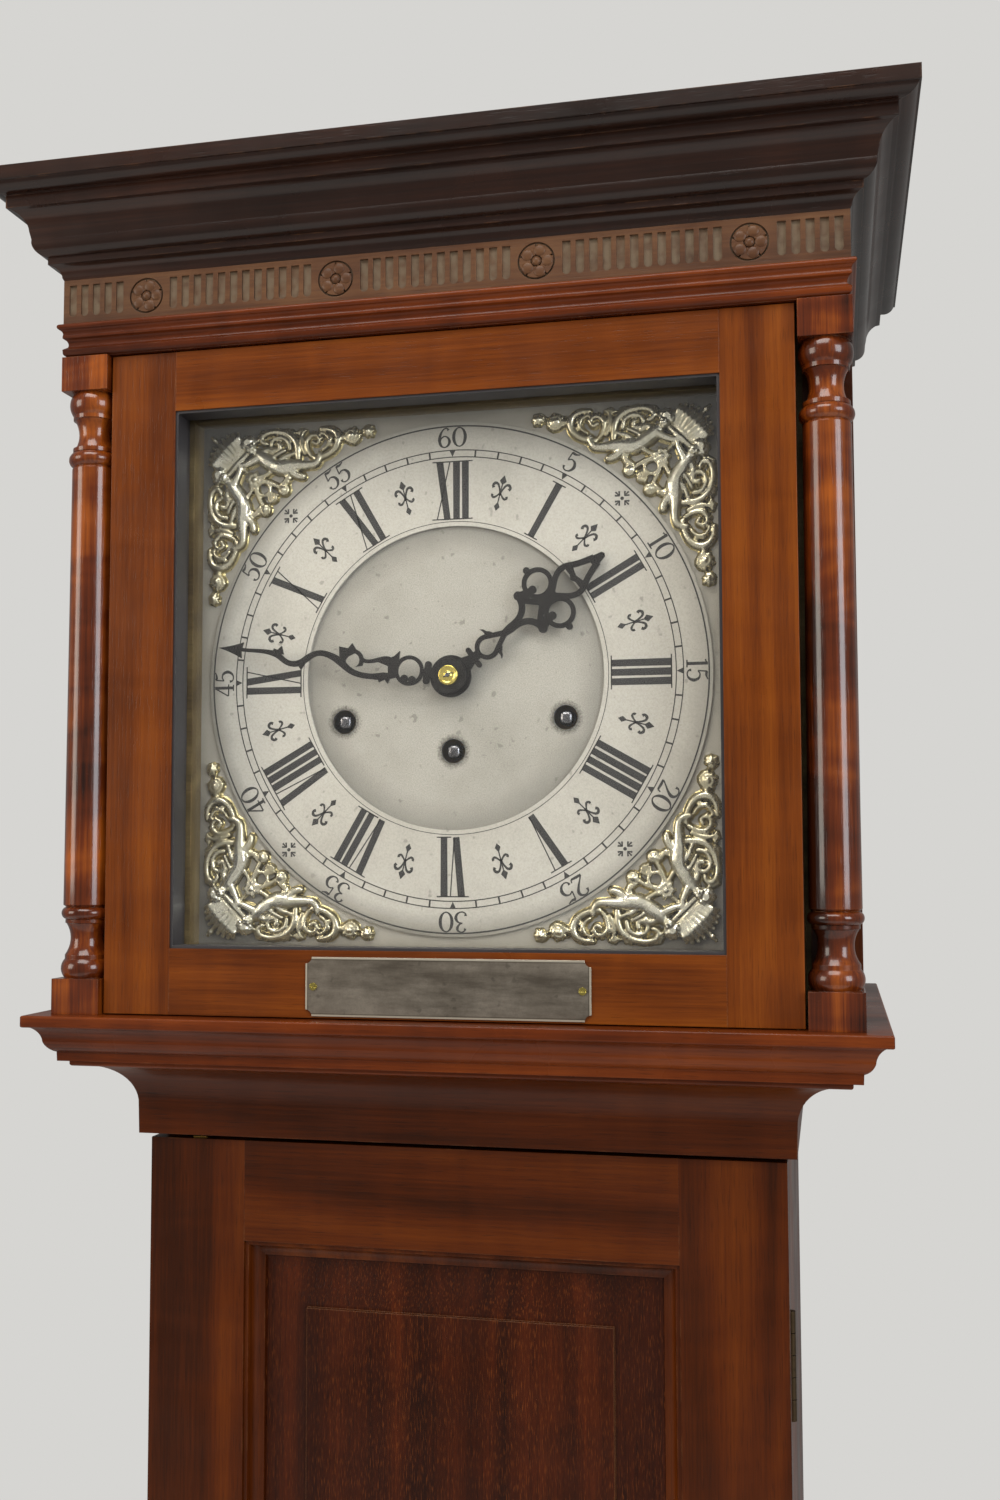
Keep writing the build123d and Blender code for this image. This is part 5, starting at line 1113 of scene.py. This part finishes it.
handNut = {
    "ring": ((5.5, -88.8), (5.5, -90.4), (5.36, -90.9), (5.0, -91.25), (4.5, -91.3), (4.0, -91.1),
             (3.2, -90.75), (2.4, -90.7), (1.9, -90.9), (1.6, -91.3)), "ringSides": 64,
    "tip": ((1.25, -91.2), (1.25, -91.9), (1.1, -92.15), (0.8, -92.3)), "tipSides": 32,
    "pinAt": -91.75, "pinLong": 5.2, "pinThick": 0.42, "pinTurn": 25, "pinSides": 16,
    "pinRows": ((-1.0, 0.6), (-0.94, 1.0), (0.94, 1.0), (1.0, 0.6)),
}


def lathe(profile, sides):
    # turns a profile round the hands' axis, which runs from front to back
    shape = bmesh.new()
    skin(shape, [[shape.verts.new((x * mm, y * mm, dialCentre + z * mm)) for x, z in around(sides, radius)]
                 for radius, y in profile])
    return shape


def makeNut():
    look = handNut
    mesh = meshFrom("hand nut ring", lathe(look["ring"], look["ringSides"]))
    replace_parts(keep("hand_nut_ring", mesh, "minute_arbor", finish["nut"]), "hand_nut")
    shape = lathe(look["tip"], look["tipSides"])
    c, s = math.cos(math.radians(look["pinTurn"])), math.sin(math.radians(look["pinTurn"]))
    along, side, ahead = Vector((c, 0, s)), Vector((-s, 0, c)), Vector((0, 1, 0))
    middle = Vector((0, look["pinAt"] * mm, dialCentre))
    rings = []
    for share, wide in look["pinRows"]:
        centre = middle + along * (look["pinLong"] / 2 * mm * share)
        thick = look["pinThick"] * wide * mm
        rings.append([shape.verts.new(centre + (side * a + ahead * b) * thick)
                      for a, b in around(look["pinSides"])])
    skin(shape, rings)
    keep("hand_nut_tip", meshFrom("hand nut tip", shape), "minute_arbor", finish["arbor"])


makeNut()
print("hand nut turned")


# Frieze rosettes: five rounded petals and a boss in each carved ring, by geometry nodes. Millimetres

rosettes = {"count": 4, "first": (-163.05, -119.25, 1906.25), "pitch": 108.7, "petals": 5, "reach": 5.75,
            "petal": (3.05, 3.15, 0.9), "boss": (2.1, 2.1, 1.1)}


def rosetteTree():
    tree, given, step, joined = startTree("petals round a boss", {
        "Int": ("Rosettes", "Petals"), "Float": ("Pitch", "Reach"),
        "Vector": ("Petal size", "Boss size", "Middle")})
    index = Signal(tree, step("InputIndex"))
    ball = step("MeshIcoSphere", {"Radius": 1.0, "Subdivisions": 4})
    petal = step("Transform", {"Geometry": ball, "Scale": given["Petal size"]})
    boss = step("Transform", {"Geometry": ball, "Scale": given["Boss size"]})
    circle = step("MeshCircle", {"Vertices": given["Petals"], "Radius": given["Reach"]})
    spin = joined({2: index * fullTurn / given["Petals"]})
    laid = step("InstanceOnPoints", {"Points": circle, "Instance": petal, "Rotation": spin})
    flower = tree.nodes.new("GeometryNodeJoinGeometry")
    for part in (laid, boss):
        tree.links.new(part, flower.inputs[0])
    stood = step("Transform", {"Geometry": flower.outputs[0], "Rotation": (math.pi / 2, 0, 0)})
    row = step("MeshLine", {"Count": given["Rosettes"], "Start Location": given["Middle"],
                            "Offset": joined({0: given["Pitch"]})})
    real = step("RealizeInstances", {0: step("InstanceOnPoints", {"Points": row, "Instance": stood})})
    return endTree(tree, step("SetShadeSmooth", {0: real}), given)


petals = grown("frieze_rosettes", rosetteTree(), {
    "Rosettes": rosettes["count"], "Pitch": rosettes["pitch"] * mm, "Petals": rosettes["petals"],
    "Reach": rosettes["reach"] * mm, "Petal size": scaled(rosettes["petal"], mm),
    "Boss size": scaled(rosettes["boss"], mm), "Middle": scaled(rosettes["first"], mm),
    "Finish": finish["frieze"]})
keep("frieze_rosettes", petals, "hood")
print("rosettes carved")


# Weight lines: each run rides on the case, and the turn under the pulley goes with the
# weight. Millimetres

lines = {
    "radius": 0.75, "sides": 10, "offset": 23.05, "y": -0.4, "top": 1576.0, "low": 400.0, "travel": 1140.0,
    "runSteps": 24, "turnSteps": 20,
    "barrels": {"strike": (-61.5, 1673.0), "going": (0.0, 1656.0), "chime": (61.5, 1673.0)},
}


def tubeTree():
    tree, given, step = startTree("round line on a path", {"Float": ("Radius",), "Int": ("Sides",)})[:3]
    path = step("MeshToCurve", {0: given["Geometry"]})
    section = step("CurvePrimitiveCircle", {"Resolution": given["Sides"], "Radius": given["Radius"]})
    tube = step("CurveToMesh", {"Curve": path, "Profile Curve": section, "Fill Caps": True})
    return endTree(tree, step("RealizeInstances", {0: tube}), given)


lineTree = tubeTree()


def layLine(name, paths, body):
    # a piece of round line on open paths, given in millimetres
    base = bpy.data.meshes.new(name)
    points, edges = [], []
    for path in paths:
        start = len(points)
        points += [scaled(p, mm) for p in path]
        edges += [(start + i, start + i + 1) for i in range(len(path) - 1)]
    base.from_pydata(points, edges, [])
    given = {"Radius": lines["radius"] * mm, "Sides": lines["sides"], "Finish": finish["line"]}
    mesh = grown(name, lineTree, given, base)
    shape = bmesh.new()
    shape.from_mesh(mesh)
    bmesh.ops.remove_doubles(shape, verts=shape.verts, dist=1e-7)
    return keep(name, meshFrom(name, shape, mesh), body)


def makeLines():
    look = lines
    y, top, low, offset = look["y"], look["top"], look["low"], look["offset"]
    above = []
    for name, (x, barrel) in look["barrels"].items():
        above.append([(x - offset, y, top), (x - offset, y, barrel)])
        steps = [low + (top - low) * i / look["runSteps"] for i in range(look["runSteps"] + 1)]
        paths = [[(x + side, y, z) for z in steps] for side in (-offset, offset)]
        run = layLine("line_runs_" + name, paths, "case")
        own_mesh(run)
        turns = [math.pi * (1 + i / look["turnSteps"]) for i in range(look["turnSteps"] + 1)]
        turn = [(x + offset * math.cos(a), y, low + offset * math.sin(a)) for a in turns]
        layLine("line_turn_" + name, [turn], "weight_" + name)
    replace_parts(layLine("line_tops", above, "case"), "weight_lines")


makeLines()
print("lines hung")


# Room: pale floor, pale surround, soft lamps

room = {
    "floor": (226, 225, 222), "floorRadius": 2.6, "surround": (214, 213, 210), "fill": 0.42, "mirrored": 0.4,
    "lamps": {
        "window": {
            "place": (2.5, -1.9, 2.3), "aim": (0, 0, 1.6), "wide": 1.3, "high": 1.7, "power": 62,
            "tint": (0.9, 0.95, 1.0)},
        "room": {
            "place": (-2.7, -2.0, 2.3), "aim": (0, 0, 1.6), "wide": 1.4, "high": 1.6, "power": 46,
            "tint": (1.0, 0.93, 0.82)},
        "ceiling": {
            "place": (-0.2, -1.5, 3.8), "aim": (0, -0.1, 1.55), "wide": 1.8, "high": 1.2, "power": 52,
            "tint": (1.0, 0.98, 0.94)},
    },
}


def setUpRoom():
    scene = bpy.context.scene
    shape = bmesh.new()
    bmesh.ops.create_circle(shape, cap_ends=True, segments=96, radius=room["floorRadius"])
    mesh = bpy.data.meshes.new("floor")
    shape.to_mesh(mesh)
    shape.free()
    made = Surface("floor")
    made.set(Base_Color=tone(*room["floor"]), Roughness=0.9)
    mesh.materials.append(made.material)
    addObject("floor", mesh)
    world = bpy.data.worlds.new("surround")
    world.use_nodes = True
    tree = world.node_tree
    tree.nodes.clear()
    path = put(tree, "ShaderNodeLightPath").outputs
    pale = tone(*room["surround"])
    shown, fill, mirrored = (
        put(tree, "ShaderNodeBackground", {"Color": colour, "Strength": strength}).outputs[0]
        for colour, strength in ((pale, 1.0), ((1, 1, 1, 1), room["fill"]), (pale, room["mirrored"])))
    seen = Signal(tree, path["Is Camera Ray"]).most(path["Is Transmission Ray"])
    lit = put(tree, "ShaderNodeMixShader", {0: path["Is Glossy Ray"], 1: fill, 2: mirrored}).outputs[0]
    mixed = put(tree, "ShaderNodeMixShader", {0: seen, 1: lit, 2: shown}).outputs[0]
    put(tree, "ShaderNodeOutputWorld", {0: mixed})
    scene.world = world
    for name, lamp in room["lamps"].items():
        data = bpy.data.lights.new(name, "AREA")
        data.shape, data.size, data.size_y = "RECTANGLE", lamp["wide"], lamp["high"]
        data.energy, data.color = lamp["power"], lamp["tint"]
        made = addObject(name, data)
        made.location = lamp["place"]
        way = Vector(lamp["aim"]) - Vector(lamp["place"])
        made.rotation_euler = way.to_track_quat("-Z", "Y").to_euler()


setUpRoom()
print("room ready")
